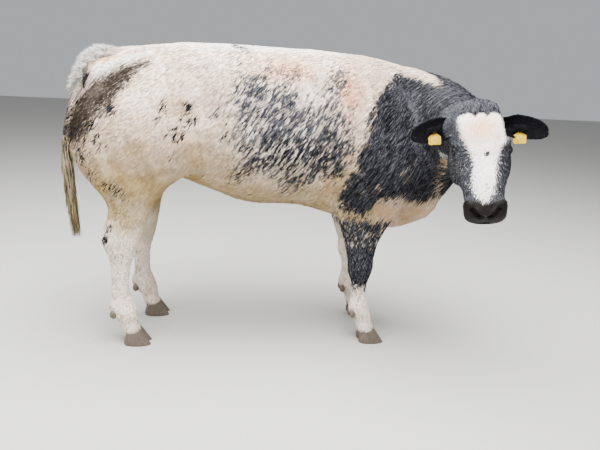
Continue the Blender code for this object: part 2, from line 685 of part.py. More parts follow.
def keep_largest(obj):
    """Keeps the largest closed surface and drops sealed hollows and loose scraps."""
    mesh = bmesh.new()
    mesh.from_mesh(obj.data)
    bmesh.ops.triangulate(mesh, faces=mesh.faces)
    unseen = set(mesh.verts)
    best, best_volume = None, 0.0
    while unseen:
        stack, group = [unseen.pop()], set()
        while stack:
            vert = stack.pop()
            group.add(vert)
            for edge in vert.link_edges:
                other = edge.other_vert(vert)
                if other in unseen:
                    unseen.discard(other)
                    stack.append(other)
        faces = {face for vert in group for face in vert.link_faces}
        volume = abs(sum(f.verts[0].co.dot(f.verts[1].co.cross(f.verts[2].co)) / 6 for f in faces))
        if volume > best_volume:
            best, best_volume = group, volume
    bmesh.ops.delete(mesh, geom=[v for v in mesh.verts if v not in best], context="VERTS")
    mesh.to_mesh(obj.data)
    mesh.free()


def box(name, low, high, frame=None):
    """A block between two corners, in a frame of its own if one is given."""
    mesh = bmesh.new()
    low, high = Vector(low), Vector(high)
    size = high - low
    bmesh.ops.create_cube(mesh, size=1.0)
    place = (frame or Matrix.Identity(4)) @ Matrix.Translation((low + high) / 2) @ Matrix.Diagonal((*size, 1.0))
    bmesh.ops.transform(mesh, matrix=place, verts=mesh.verts)
    return mesh_object(name, mesh)


def copy_of(obj, name):
    twin = bpy.data.objects.new(name, obj.data.copy())
    bpy.context.scene.collection.objects.link(twin)
    return twin


def swollen(obj, amount):
    """A copy of a body with its skin moved out by an amount."""
    twin = copy_of(obj, "swollen")
    points, normals = read_points(twin)
    write_points(twin, points + normals * amount)
    return twin


def part_off(flesh, name, low, high, frame=None):
    """Parts what lies in a block off the flesh, with a thin gap between the two."""
    piece = copy_of(flesh, name)
    cut(piece, box("region", low, high, frame), "INTERSECT")
    edge = Vector((GAP, GAP, GAP))
    cut(flesh, box("region", Vector(low) - edge, Vector(high) + edge, frame), "DIFFERENCE")
    return piece


def head_frame():
    a, b, n = head_axes()
    frame = Matrix((a, b, n)).transposed().to_4x4()
    frame.translation = POLL
    return frame


def coronet_frame(foot_x):
    """A frame on the top of the claws, its third axis out of the tilted coronet."""
    return Matrix.Translation((foot_x, 0, CORONET)) @ Matrix.Rotation(-CORONET_TILT, 4, "Y")


def claw(name, foot_x, across, inner, outer):
    """One claw: level rings from a flat sole, whose front wall slopes back, cut at the coronet."""
    angle = np.linspace(0, 2 * np.pi, 12, endpoint=False)
    rings = []
    for height in (0.0, 0.012, 0.045, 0.100):
        toe = CLAW_LENGTH / 2 - height / math.tan(TOE_SLOPE)
        heel = -CLAW_LENGTH / 2 - 0.004 * math.sin(min(height, 0.05) / 0.05 * math.pi) + height * 0.12
        flare = 1.0 + 0.10 * (1 - min(height, 0.08) / 0.08)
        cos, sin = rounded(angle, 2.3)
        x = foot_x + (toe + heel) / 2 + (toe - heel) / 2 * cos
        taper = 1 - 0.30 * np.clip(cos, 0, 1) ** 2
        middle, half = (inner + outer) / 2, (outer - inner) / 2
        outward = np.sign(outer - inner) * np.abs(half) * sin * taper
        out_side = np.sign(middle - across) * np.sign(outward) > 0
        y = middle + outward * np.where(out_side, flare, 1.0)
        rings.append(np.stack([x, y, np.full_like(x, height)], axis=1))
    body = tube(name, rings)
    cut(body, box("above", (-0.3, -0.5, 0.0), (0.3, 0.5, 0.2), coronet_frame(foot_x)), "DIFFERENCE")
    return body


def udder():
    """A small heifer's udder with its four teats."""
    body = ball("udder", (-0.545, 0.012, 0.800), (0.085, 0.062, 0.068), segments=14)
    teats = []
    for x in (-0.580, -0.515):
        for y in (-0.014, 0.038):
            path = [(x, y, 0.770, 0.011), (x, y, 0.715, 0.009), (x, y, 0.702, 0.003)]
            teats.append(sweep("teat", path, 6))
    joined(body, teats)
    return body


def paint(obj, name, colour, roughness):
    """A plain material of the colour seen in the photo."""
    material = bpy.data.materials.get(name)
    if material is None:
        material = bpy.data.materials.new(name)
        material.use_nodes = True
        shader = material.node_tree.nodes["Principled BSDF"]
        shader.inputs["Base Color"].default_value = (*colour, 1.0)
        shader.inputs["Roughness"].default_value = roughness
    obj.data.materials.clear()
    obj.data.materials.append(material)


def build_flesh():
    """The whole body in one skin: lofts and muscles fused, smoothed, worked over and thinned."""
    pieces = [torso(), neck(), head()]
    for side, hind_step, fore_step in ((-1, 0.0, 0.0), (1, FAR_HIND_STEP, FAR_FORE_STEP)):
        pieces.append(leg(HIND_LEG, side, hind_step))
        pieces.append(leg(FORE_LEG, side, fore_step))
        pieces.append(head_ball("cheek", (0.168, side * 0.080, -0.158), (0.105, 0.047, 0.084)))
        pieces.append(head_ball("orbit", (0.190, side * 0.094, -0.042), (0.044, 0.027, 0.035)))
        pieces.append(head_ball("nostril", (0.448, side * 0.048, -0.045), (0.034, 0.034, 0.034)))
        for (x, y, z), radii in MUSCLES:
            pieces.append(ball("muscle", (x, side * y, z), radii))
    pieces.append(head_ball("chin", (0.436, 0.0, -0.118), (0.048, 0.054, 0.026)))
    flesh = fused("flesh", pieces, VOXEL)
    points, _ = read_points(flesh)
    trunk = ease(points[:, 2], 0.55, 0.75) * (1 - head_share(points))
    soften(flesh, trunk, TRUNK_STEPS)
    soften(flesh, np.ones(len(flesh.data.vertices)), EVEN_STEPS)
    points, normals = read_points(flesh)
    for start, end, radius, depth in NECK_FOLDS:
        stroke(points, normals, start, end, radius, depth)
    for side, hind_step, fore_step in ((-1, 0.0, 0.0), (1, FAR_HIND_STEP, FAR_FORE_STEP)):
        for (x0, y0, z0), (x1, y1, z1), radius, depth in TRUNK_STROKES:
            share = depth if y0 > 0 or side > 0 else 0.0
            stroke(points, normals, (x0, side * y0, z0), (x1, side * y1, z1), radius, share)
        for (x0, y0, z0), (x1, y1, z1), radius, depth in LEG_STROKES:
            step = hind_step if x0 < 0 else fore_step
            start = (x0 + leg_shift(z0, step), side * y0, z0)
            end = (x1 + leg_shift(z1, step), side * y1, z1)
            stroke(points, normals, start, end, radius, depth)
    write_points(flesh, points)
    refine_head(flesh)
    soften(flesh, head_share(read_points(flesh)[0]), 3)
    shape_head(flesh)
    thin_out(flesh)
    return flesh


def thin_out(flesh):
    """Fewer triangles, most of them left on the head."""
    points, _ = read_points(flesh)
    group = flesh.vertex_groups.new(name="plain")
    along = head_places(points)[:, 0]
    share = 1 - 0.66 * head_share(points) * ease(along, -0.06, -0.02) - 0.30 * ease(-points[:, 2], -0.6, -0.4)
    levels = np.round(np.clip(share, 0, 1) * 10).astype(int)
    for level in range(1, 11):
        group.add(np.flatnonzero(levels == level).tolist(), level / 10, "REPLACE")
    thin = flesh.modifiers.new("thin", "DECIMATE")
    thin.vertex_group = group.name
    thin.vertex_group_factor = 2.0
    thin.ratio = FLESH_TRIANGLES / (len(flesh.data.polygons) * 2)
    apply_modifiers(flesh)
    flesh.vertex_groups.clear()


def switch_locks(rng):
    """Locks that hang down round the end of the tail and close to a ragged point."""
    core = smooth_rows(TAIL, 60)
    pieces = []
    for k in range(SWITCH_LOCKS):
        part = k / (SWITCH_LOCKS - 1)
        start = 0.865 - 0.245 * part
        row = core[np.argmin(np.abs(core[:, 2] - start))]
        turn = k * 2.4 + rng.uniform(-0.3, 0.3)
        out = Vector((math.cos(turn), math.sin(turn), 0.0))
        root = Vector(row[:3]) + out * row[3] * 0.45
        length = min(rng.uniform(0.15, 0.21), start - SWITCH_TIP - 0.01 + 0.02 * math.cos(turn * 3))
        spread = 0.19 * (1 - 0.4 * part)
        way = out * spread + Vector((0.04, -0.01, -1.0))
        bend = -out * spread * 0.75
        pieces.append(lock(root, way, bend, length, rng.uniform(0.010, 0.014), 0.005))
    return pieces


def poll_locks(rng):
    """The tuft on the poll: locks combed forwards over the brow, their points on the forehead."""
    pieces = []
    for k in range(POLL_LOCKS):
        across = (k % 8 - 3.5) / 3.5
        row = k // 8
        s = -0.012 + 0.024 * row + rng.uniform(-0.004, 0.004)
        t = across * (0.066 - 0.006 * row) + rng.uniform(-0.004, 0.004)
        root = on_head(s, t, 0.002 - 0.018 * across**2 - 0.004 * max(0, 1 - row))
        way = head_vector(0.80, across * 0.24, 0.80 - 0.12 * row)
        bend = head_vector(0.15, -across * 0.10, -1.0) * 0.56
        length = rng.uniform(0.052, 0.066) * (1 - 0.25 * across**2)
        pieces.append(lock(root, way, bend, length, rng.uniform(0.011, 0.014), 0.007))
    return pieces


def build_tail(flesh, rng):
    whole = sweep("tail_dock", TAIL, 12)
    cut(flesh, swollen(whole, SNUG), "DIFFERENCE")
    upper, lower = TAIL_CUTS
    switch = part_off(whole, "tail_switch", (-1.2, -0.4, 0.0), (-0.6, 0.4, lower))
    part_off(whole, "tail_middle", (-1.2, -0.4, lower), (-0.6, 0.4, upper))
    joined(switch, switch_locks(rng))


def build_feet(flesh):
    """Claws and dewclaws, with the pasterns cut to meet them."""
    for kind in ("hindleg", "foreleg"):
        for side, word in ((-1, "right"), (1, "left")):
            step = (FAR_HIND_STEP if kind == "hindleg" else FAR_FORE_STEP) * (side > 0)
            foot_x = FOOT_MIDDLE[kind] + step
            across = side * FOOT_ACROSS[kind]
            below = box("below", (-0.2, across - 0.15, -0.2), (0.2, across + 0.15, GAP), coronet_frame(foot_x))
            cut(flesh, below, "DIFFERENCE")
            for place, way in (("inner", -side), ("outer", side)):
                near = across + way * CLEFT / 2
                far = across + way * (CLEFT / 2 + CLAW_WIDTH)
                claw(f"{kind}_{word}_{place}_claw", foot_x, across, near, far)
            rear = (-0.712 if kind == "hindleg" else 0.398) + step
            for place, way in (("inner", -side), ("outer", side)):
                centre = (rear, across + way * 0.026, 0.146)
                dew = ball(f"{kind}_{word}_{place}_dewclaw", centre, (0.016, 0.012, 0.020), segments=8)
                cut(dew, swollen(flesh, SNUG), "DIFFERENCE")


def part_flesh(flesh):
    """Parts the flesh where a person would name its pieces."""
    frame = head_frame()
    part_off(flesh, "muzzle", (0.396, -0.2, -0.4), (0.7, 0.2, 0.3), frame)
    nape = frame @ Matrix.Translation((-0.045, 0, 0)) @ Matrix.Rotation(-NAPE_SLOPE, 4, "Y")
    part_off(flesh, "head", (0.0, -0.25, -0.262), (0.6, 0.25, 0.4), nape)
    neck_frame = Matrix.Translation((0.735, -0.10, 1.0)) @ Matrix.Rotation(math.radians(-17), 4, "Z")
    part_off(flesh, "neck", (0.0, -1.2, -1.0), (0.8, 1.2, 1.0), neck_frame)
    for side, word in ((-1, "right"), (1, "left")):
        for kind, x0, x1, inner, levels in (
            ("foreleg", 0.15, 0.60, 0.104, (("pastern", 0.175), ("cannon", 0.415), ("forearm", 0.590))),
            ("hindleg", -1.0, -0.38, 0.075, (("pastern", 0.175), ("cannon", 0.545), ("gaskin", 0.735))),
        ):
            low = 0.0
            for name, top in levels:
                edges = sorted((side * inner, side * 0.45))
                part_off(flesh, f"{kind}_{word}_{name}", (x0, edges[0], low), (x1, edges[1], top))
                low = top
    part_off(flesh, "forequarters", (0.165, -0.6, 0.3), (1.2, 0.6, 1.6))
    part_off(flesh, "hindquarters", (-1.2, -0.6, 0.3), (-0.385, 0.6, 1.6))
    flesh.name = "barrel"


def main():
    for obj in list(bpy.data.objects):
        bpy.data.objects.remove(obj)
    rng = random.Random(7)
    flesh = build_flesh()
    build_tail(flesh, rng)
    bag = udder()
    cut(bag, swollen(flesh, SNUG), "DIFFERENCE")
    build_feet(flesh)
    for side, word in ((-1, "right"), (1, "left")):
        place = on_head(EYE_PLACE[0], side * EYE_PLACE[1], EYE_PLACE[2])
        ball(f"eye_{word}", place, (EYE_RADIUS,) * 3, segments=16)
        cut(flesh, ball("socket", place, (EYE_RADIUS + SNUG,) * 3, segments=16), "DIFFERENCE")
    part_flesh(flesh)
    face = bpy.data.objects["head"]
    joined(face, poll_locks(rng))
    for side, word in ((-1, "right"), (1, "left")):
        leaf = ear(side, f"ear_{word}")
        plate = tag(side, f"ear_tag_{word}")
        cut(plate, swollen(leaf, SNUG), "DIFFERENCE")
        cut(leaf, swollen(face, SNUG), "DIFFERENCE")
    for obj in bpy.data.objects:
        dress(obj)
        obj.data.transform(Matrix.Translation(-ORIGIN))


def dress(obj):
    """Gives each node the plain colour of its part."""
    name = obj.name
    if "claw" in name:
        paint(obj, "horn", (0.10, 0.09, 0.085), 0.45)
    elif name.startswith("eye"):
        paint(obj, "eye", (0.01, 0.008, 0.007), 0.08)
    elif name.startswith("ear_tag"):
        paint(obj, "tag_plastic", (0.85, 0.55, 0.06), 0.45)
    elif name == "muzzle":
        paint(obj, "muzzle_skin", (0.02, 0.02, 0.024), 0.35)
    elif name.startswith(("ear", "neck", "foreleg_right")):
        paint(obj, "black_hair", (0.035, 0.037, 0.048), 0.6)
    elif name == "tail_switch":
        paint(obj, "brown_hair", (0.20, 0.14, 0.09), 0.7)
    else:
        paint(obj, "white_hair", (0.72, 0.66, 0.58), 0.6)
    obj.data.shade_smooth()


main()
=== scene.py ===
# A double-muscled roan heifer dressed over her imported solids: one skin, a coat of tufts, eyes, horn and tags.
# Metres, +Z up. +X runs along the body to the chest and -Y is her right side.
import math

import bmesh
import bpy
import numpy as np
from mathutils import Matrix, Vector


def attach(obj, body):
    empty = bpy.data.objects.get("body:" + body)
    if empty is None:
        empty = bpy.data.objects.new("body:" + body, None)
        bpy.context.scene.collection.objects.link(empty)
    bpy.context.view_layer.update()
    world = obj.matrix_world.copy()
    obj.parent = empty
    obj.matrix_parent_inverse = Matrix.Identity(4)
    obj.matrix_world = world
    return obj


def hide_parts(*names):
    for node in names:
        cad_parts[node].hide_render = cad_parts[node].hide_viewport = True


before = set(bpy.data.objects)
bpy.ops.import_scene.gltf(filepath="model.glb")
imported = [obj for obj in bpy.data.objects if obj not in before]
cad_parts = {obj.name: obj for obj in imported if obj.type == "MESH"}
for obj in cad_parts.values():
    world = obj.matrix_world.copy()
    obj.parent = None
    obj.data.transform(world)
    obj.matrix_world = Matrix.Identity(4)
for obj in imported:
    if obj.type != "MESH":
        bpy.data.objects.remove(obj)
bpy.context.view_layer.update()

# The tables below count from under her withers, and the part from the middle of its box
boxMiddle = np.array((0.049, -0.254, 0.0))
rng = np.random.default_rng(11)


# Meshes from arrays

def addObject(name, data):
    obj = bpy.data.objects.new(name, data)
    bpy.context.scene.collection.objects.link(obj)
    return obj


# points is (n, 3) and faces is (m, 3) or (m, 4), all worked out beforehand
def meshFrom(name, points, faces):
    data = bpy.data.meshes.new(name)
    data.vertices.add(len(points))
    data.vertices.foreach_set("co", np.ascontiguousarray(points, np.float32).ravel())
    count, sides = faces.shape
    data.loops.add(count * sides)
    data.loops.foreach_set("vertex_index", np.ascontiguousarray(faces, np.int32).ravel())
    data.polygons.add(count)
    data.polygons.foreach_set("loop_start", np.arange(0, count * sides, sides, dtype=np.int32))
    data.update(calc_edges=True)
    return addObject(name, data)


# The same faces, turned over if they look inwards: a closed mesh's volume, summed from its corners, is
# above 0
def facingOut(points, faces):
    corner = points[faces]
    volume = np.einsum("ij,ij->i", corner[:, 0], np.cross(corner[:, 1], corner[:, 2])).sum()
    return faces if volume > 0 else faces[:, ::-1]


# Rings of points (rows, columns, 3) joined by two triangles a cell, with a fan to the middle at both ends
def loftFrom(name, rings):
    rings = np.asarray(rings, float)
    rows, columns = rings.shape[:2]
    index = np.arange(rows * columns).reshape(rows, columns)
    near, far = index[:-1], index[1:]
    nearNext, farNext = np.roll(near, -1, axis=1), np.roll(far, -1, axis=1)
    cells = np.concatenate([
        np.stack([near, nearNext, farNext], -1).reshape(-1, 3),
        np.stack([near, farNext, far], -1).reshape(-1, 3),
    ])
    first, last = rows * columns, rows * columns + 1
    fan = np.arange(columns)
    turned = np.roll(fan, -1)
    caps = np.concatenate([
        np.stack([turned, fan, np.full(columns, first)], -1),
        np.stack([index[-1][fan], index[-1][turned], np.full(columns, last)], -1),
    ])
    points = np.vstack([rings.reshape(-1, 3), rings[0].mean(0), rings[-1].mean(0)])
    return meshFrom(name, points, facingOut(points, np.concatenate([cells, caps])))


# An ellipsoid: rings of a unit ball at even latitudes, stretched by the radii and turned by three axes
def ballFrom(name, centre, radii, axes=np.eye(3), segments=36):
    latitude = np.linspace(-np.pi / 2, np.pi / 2, segments // 2 + 1)[1:-1, None]
    longitude = np.linspace(0, 2 * np.pi, segments, endpoint=False)[None, :]
    across, beside = np.cos(latitude) * np.cos(longitude), np.cos(latitude) * np.sin(longitude)
    unit = np.stack([across, beside, np.sin(latitude) + 0 * longitude], -1)
    return loftFrom(name, np.asarray(centre) + (unit * np.asarray(radii)) @ np.asarray(axes))


def readPoints(obj):
    count = len(obj.data.vertices)
    points = np.empty(count * 3, np.float32)
    normals = np.empty(count * 3, np.float32)
    obj.data.vertices.foreach_get("co", points)
    obj.data.vertex_normals.foreach_get("vector", normals)
    return points.reshape(-1, 3).astype(float), normals.reshape(-1, 3).astype(float)


def writePoints(obj, points):
    obj.data.vertices.foreach_set("co", points.astype(np.float32).ravel())
    obj.data.update()


def applyModifiers(obj):
    graph = bpy.context.evaluated_depsgraph_get()
    data = bpy.data.meshes.new_from_object(obj.evaluated_get(graph))
    obj.modifiers.clear()
    old, obj.data = obj.data, data
    bpy.data.meshes.remove(old)


# Closed pieces that overlap, made one mesh on a grid of cubes
def fusePieces(name, pieces, voxel):
    mesh = bmesh.new()
    for piece in pieces:
        mesh.from_mesh(piece.data)
        bpy.data.objects.remove(piece)
    data = bpy.data.meshes.new(name)
    mesh.to_mesh(data)
    mesh.free()
    whole = addObject(name, data)
    grid = whole.modifiers.new("grid", "REMESH")
    grid.mode = "VOXEL"
    grid.voxel_size = voxel
    applyModifiers(whole)
    return whole


# 0 below low, 1 above high and a smooth step between
def ease(value, low, high):
    part = np.clip((value - low) / (high - low), 0, 1)
    return part * part * (3 - 2 * part)


def unitOf(vectors):
    return vectors / np.maximum(np.linalg.norm(vectors, axis=-1, keepdims=True), 1e-9)


# Rows of sizes read at count even steps along a Catmull-Rom curve through them: half of 2 b + (c - a) t
# + (2 a - 5 b + 4 c - d) t^2 + (3 b - a - 3 c + d) t^3 between rows b and c
def smoothRows(rows, count):
    table = np.array(rows, float)
    along = np.linspace(0, len(table) - 1, count)
    low = np.minimum(along.astype(int), len(table) - 2)
    part = (along - low)[:, None]
    padded = np.vstack([2 * table[0] - table[1], table, 2 * table[-1] - table[-2]])
    a, b, c, d = (padded[low + k] for k in range(4))
    return 0.5 * (
        2 * b + (c - a) * part + (2 * a - 5 * b + 4 * c - d) * part**2
        + (3 * b - a - 3 * c + d) * part**3
    )


# Across and up on a superellipse: cosine and sine to the power of 2 / power, with their signs kept. Power
# 2 is an ellipse and more is boxier
def rounded(angle, power):
    cos, sin = np.cos(angle), np.sin(angle)
    return np.sign(cos) * np.abs(cos) ** (2 / power), np.sign(sin) * np.abs(sin) ** (2 / power)


# Distance of each point from a bent line through places
def lineGap(points, places):
    gap = np.full(len(points), 9.0)
    for start, end in zip(places, places[1:]):
        start, end = np.asarray(start, float), np.asarray(end, float)
        run = end - start
        part = np.clip((points - start) @ run / max(run @ run, 1e-12), 0, 1)
        gap = np.minimum(gap, np.linalg.norm(points - start - part[:, None] * run, axis=1))
    return gap


# A vertex group of weights rounded to tenths
def weighGroup(obj, name, weight):
    group = obj.vertex_groups.new(name=name)
    levels = np.round(weight * 10).astype(int)
    for level in range(1, 11):
        group.add(np.flatnonzero(levels == level).tolist(), level / 10, "REPLACE")
    return group.name


# Smoothing of each point towards its neighbours, by a weight of its own
def soften(obj, weight, steps):
    smooth = obj.modifiers.new("soften", "SMOOTH")
    smooth.vertex_group = weighGroup(obj, "soft", weight)
    smooth.factor = 0.5
    smooth.iterations = steps
    applyModifiers(obj)
    obj.vertex_groups.clear()


# Pushes the skin in or out along a line: depth exp(-(gap / radius)^2) along its normal
def strokeSkin(points, normals, start, end, radius, depth):
    gap = lineGap(points, (start, end))
    points += normals * (depth * np.exp(-((gap / radius) ** 2)))[:, None]


# The trunk and neck

trunk = {
    # x, top, bottom, half width, height of the widest place, squareness above and below
    "rows": (
        (-0.845, 1.252, 1.000, 0.078, 1.14, 2.0, 2.0),
        (-0.790, 1.306, 0.905, 0.142, 1.12, 1.9, 2.0),
        (-0.690, 1.331, 0.840, 0.200, 1.10, 1.9, 2.0),
        (-0.560, 1.340, 0.800, 0.245, 1.10, 2.1, 2.0),
        (-0.420, 1.362, 0.752, 0.272, 1.08, 2.6, 2.1),
        (-0.250, 1.365, 0.690, 0.292, 1.02, 2.7, 2.2),
        (-0.080, 1.365, 0.645, 0.306, 0.98, 2.6, 2.2),
        (0.120, 1.362, 0.640, 0.310, 0.96, 2.4, 2.2),
        (0.300, 1.350, 0.590, 0.290, 0.95, 2.1, 2.1),
        (0.460, 1.335, 0.540, 0.250, 0.95, 1.9, 2.0),
        (0.600, 1.300, 0.525, 0.215, 0.93, 1.8, 2.0),
        (0.700, 1.200, 0.550, 0.180, 0.90, 1.9, 2.0),
        (0.790, 1.060, 0.590, 0.125, 0.85, 2.0, 2.0),
        (0.840, 0.900, 0.660, 0.060, 0.76, 2.0, 2.0),
    ),
    # muscles that stand out, one on each side: centre, radii
    "muscles": (
        ((-0.500, 0.175, 1.000), (0.190, 0.145, 0.260)),
        ((-0.735, 0.165, 0.985), (0.140, 0.140, 0.190)),
        ((-0.200, 0.105, 1.240), (0.340, 0.110, 0.122)),
        ((0.300, 0.200, 0.900), (0.125, 0.118, 0.200)),
        ((0.620, 0.110, 0.880), (0.125, 0.115, 0.150)),
    ),
    # soft strokes, on both sides: from, to, radius, depth (inwards where negative)
    "strokes": (
        ((-0.42, 0.000, 1.36), (0.10, 0.000, 1.37), 0.045, -0.012),
        ((-0.76, 0.070, 1.31), (-0.62, 0.095, 1.34), 0.050, -0.022),
        ((-0.60, 0.100, 1.35), (-0.50, 0.050, 1.37), 0.040, -0.006),
        ((-0.745, 0.260, 1.08), (-0.690, 0.300, 0.84), 0.036, -0.015),
        ((-0.620, 0.300, 0.92), (-0.570, 0.280, 0.76), 0.045, -0.008),
        ((-0.350, 0.260, 1.24), (-0.315, 0.285, 1.08), 0.060, -0.018),
        ((-0.370, 0.285, 0.95), (-0.345, 0.240, 0.80), 0.040, 0.012),
        ((0.150, 0.250, 1.20), (0.175, 0.300, 0.80), 0.045, -0.016),
        ((0.420, 0.190, 1.22), (0.470, 0.270, 0.98), 0.032, -0.010),
        ((0.300, 0.200, 1.27), (0.420, 0.160, 1.31), 0.050, 0.006),
        ((0.400, 0.300, 0.86), (0.440, 0.260, 0.72), 0.034, -0.012),
        ((0.245, 0.230, 0.68), (0.262, 0.215, 0.62), 0.030, 0.012),
        ((-0.77, 0.125, 1.215), (-0.56, 0.130, 1.320), 0.024, 0.008),
        ((-0.68, 0.215, 1.235), (-0.80, 0.200, 1.090), 0.032, -0.010),
        ((-0.625, 0.310, 1.060), (-0.590, 0.315, 0.985), 0.105, 0.016),
        ((-0.455, 0.310, 1.160), (-0.430, 0.310, 1.000), 0.050, -0.009),
        ((-0.62, 0.300, 0.780), (-0.46, 0.260, 0.815), 0.022, -0.006),
        ((-0.20, 0.000, 0.668), (0.00, 0.000, 0.640), 0.030, 0.012),
    ),
    "voxel": 0.0065,
    "tailVoxel": 0.0060,     # of the second grid, which joins tail and udder on
    "smoothing": 170,
    "triangles": 196000,
}

neck = {
    # crest point, throat point, half width, squareness
    "rows": (
        (0.420, 0.000, 1.320, 0.560, 0.000, 0.620, 0.170, 1.9),
        (0.575, -0.015, 1.308, 0.745, -0.005, 0.610, 0.175, 1.9),
        (0.668, -0.075, 1.290, 0.822, -0.075, 0.700, 0.165, 1.9),
        (0.726, -0.180, 1.262, 0.815, -0.190, 0.815, 0.142, 2.0),
        (0.752, -0.300, 1.235, 0.768, -0.325, 0.895, 0.122, 2.1),
        (0.768, -0.410, 1.208, 0.735, -0.430, 0.945, 0.108, 2.2),
        (0.775, -0.500, 1.165, 0.725, -0.510, 0.985, 0.096, 2.2),
    ),
    # folds on her right, the inside of the neck's bend: from, to, radius, depth
    "folds": (
        ((0.489, -0.224, 1.160), (0.456, -0.310, 0.907), 0.020, -0.009),
        ((0.557, -0.215, 1.140), (0.541, -0.310, 0.865), 0.018, -0.008),
        ((0.639, -0.256, 1.104), (0.661, -0.274, 0.840), 0.018, -0.007),
        ((0.522, -0.220, 1.150), (0.500, -0.310, 0.880), 0.022, 0.006),
        ((0.600, -0.240, 1.120), (0.600, -0.300, 0.850), 0.022, 0.006),
    ),
}

legs = {
    # near side: height, rear, front, inner and outer distance from the midline, squareness
    "hind": (
        (1.290, -0.600, -0.420, 0.040, 0.190, 2.0),
        (1.235, -0.680, -0.350, 0.020, 0.240, 2.1),
        (1.160, -0.765, -0.310, 0.012, 0.280, 2.2),
        (1.070, -0.846, -0.310, 0.010, 0.308, 2.2),
        (0.970, -0.892, -0.335, 0.014, 0.325, 2.2),
        (0.880, -0.880, -0.372, 0.030, 0.322, 2.2),
        (0.800, -0.848, -0.415, 0.055, 0.300, 2.2),
        (0.725, -0.790, -0.472, 0.082, 0.268, 2.2),
        (0.660, -0.740, -0.525, 0.105, 0.246, 2.2),
        (0.600, -0.736, -0.553, 0.120, 0.232, 2.2),
        (0.545, -0.754, -0.572, 0.128, 0.228, 2.2),
        (0.495, -0.760, -0.588, 0.128, 0.231, 2.3),
        (0.445, -0.744, -0.606, 0.132, 0.226, 2.3),
        (0.390, -0.729, -0.628, 0.143, 0.216, 2.3),
        (0.310, -0.722, -0.642, 0.149, 0.210, 2.3),
        (0.235, -0.721, -0.637, 0.148, 0.212, 2.3),
        (0.185, -0.729, -0.617, 0.138, 0.222, 2.3),
        (0.150, -0.718, -0.607, 0.134, 0.226, 2.3),
        (0.110, -0.688, -0.601, 0.138, 0.222, 2.3),
        (0.070, -0.672, -0.592, 0.127, 0.233, 2.3),
        (0.048, -0.650, -0.600, 0.140, 0.220, 2.3),
    ),
    "fore": (
        (1.240, 0.360, 0.540, 0.080, 0.160, 2.0),
        (1.170, 0.300, 0.600, 0.060, 0.222, 2.1),
        (1.080, 0.250, 0.665, 0.050, 0.262, 2.2),
        (0.980, 0.215, 0.715, 0.050, 0.296, 2.2),
        (0.900, 0.205, 0.735, 0.050, 0.312, 2.2),
        (0.820, 0.212, 0.715, 0.060, 0.312, 2.2),
        (0.740, 0.240, 0.660, 0.075, 0.292, 2.2),
        (0.660, 0.275, 0.595, 0.090, 0.266, 2.2),
        (0.580, 0.306, 0.542, 0.105, 0.245, 2.2),
        (0.510, 0.332, 0.506, 0.118, 0.230, 2.2),
        (0.440, 0.352, 0.488, 0.126, 0.222, 2.2),
        (0.385, 0.364, 0.481, 0.128, 0.223, 2.4),
        (0.345, 0.369, 0.475, 0.130, 0.220, 2.4),
        (0.300, 0.384, 0.463, 0.141, 0.210, 2.3),
        (0.240, 0.389, 0.461, 0.143, 0.208, 2.3),
        (0.185, 0.384, 0.478, 0.135, 0.217, 2.3),
        (0.150, 0.392, 0.488, 0.131, 0.221, 2.3),
        (0.110, 0.412, 0.499, 0.134, 0.218, 2.3),
        (0.070, 0.426, 0.509, 0.123, 0.229, 2.3),
        (0.048, 0.440, 0.500, 0.136, 0.216, 2.3),
    ),
    "farStep": {"hind": 0.065, "fore": 0.022},      # how far ahead of the near leg the far one stands
    # strokes at the outer face, in the same columns
    "strokes": (
        ((-0.745, 0.180, 0.50), (-0.752, 0.180, 0.46), 0.024, 0.006),
        ((-0.715, 0.228, 0.60), (-0.705, 0.225, 0.70), 0.020, -0.010),
        ((-0.700, 0.210, 0.38), (-0.696, 0.210, 0.22), 0.013, -0.004),
        ((-0.725, 0.180, 0.17), (-0.722, 0.180, 0.19), 0.020, 0.006),
        ((0.478, 0.180, 0.38), (0.474, 0.180, 0.34), 0.028, 0.005),
        ((0.372, 0.180, 0.38), (0.376, 0.180, 0.36), 0.020, 0.006),
        ((0.405, 0.210, 0.31), (0.402, 0.210, 0.21), 0.013, -0.004),
        ((0.386, 0.180, 0.17), (0.388, 0.180, 0.19), 0.020, 0.006),
    ),
}


# Sections across x, each an upper and a lower half superellipse that meet at the widest height
def makeTorso():
    angle = np.linspace(0, 2 * np.pi, 64, endpoint=False)[None, :]
    x, top, bottom, half, middle, above, below = (c[:, None] for c in smoothRows(trunk["rows"], 80).T)
    cosUp, sinUp = rounded(angle, above)
    cosLow, sinLow = rounded(angle, below)
    upper = np.sin(angle) >= 0
    y = half * np.where(upper, cosUp, cosLow)
    z = middle + np.where(upper, (top - middle) * sinUp, (middle - bottom) * sinLow)
    return loftFrom("torso", np.stack([x + 0 * y, y, z], -1))


# Sections from crest to throat, each square to the run of their middles
def makeNeck():
    angle = np.linspace(0, 2 * np.pi, 56, endpoint=False)[None, :, None]
    table = smoothRows(neck["rows"], 48)
    crest, throat = table[:, 0:3], table[:, 3:6]
    middle = (crest + throat) / 2
    up = (crest - throat) / 2
    across = unitOf(np.cross(np.gradient(middle, axis=0), up)) * table[:, 6:7]
    cos, sin = rounded(angle, table[:, 7][:, None, None])
    return loftFrom("neck", middle[:, None] + cos * across[:, None] + sin * up[:, None])


# All of a far leg's step below the stifle, none at the hip
def legShift(z, step):
    return step * np.clip((0.85 - z) / 0.45, 0.0, 1.0)


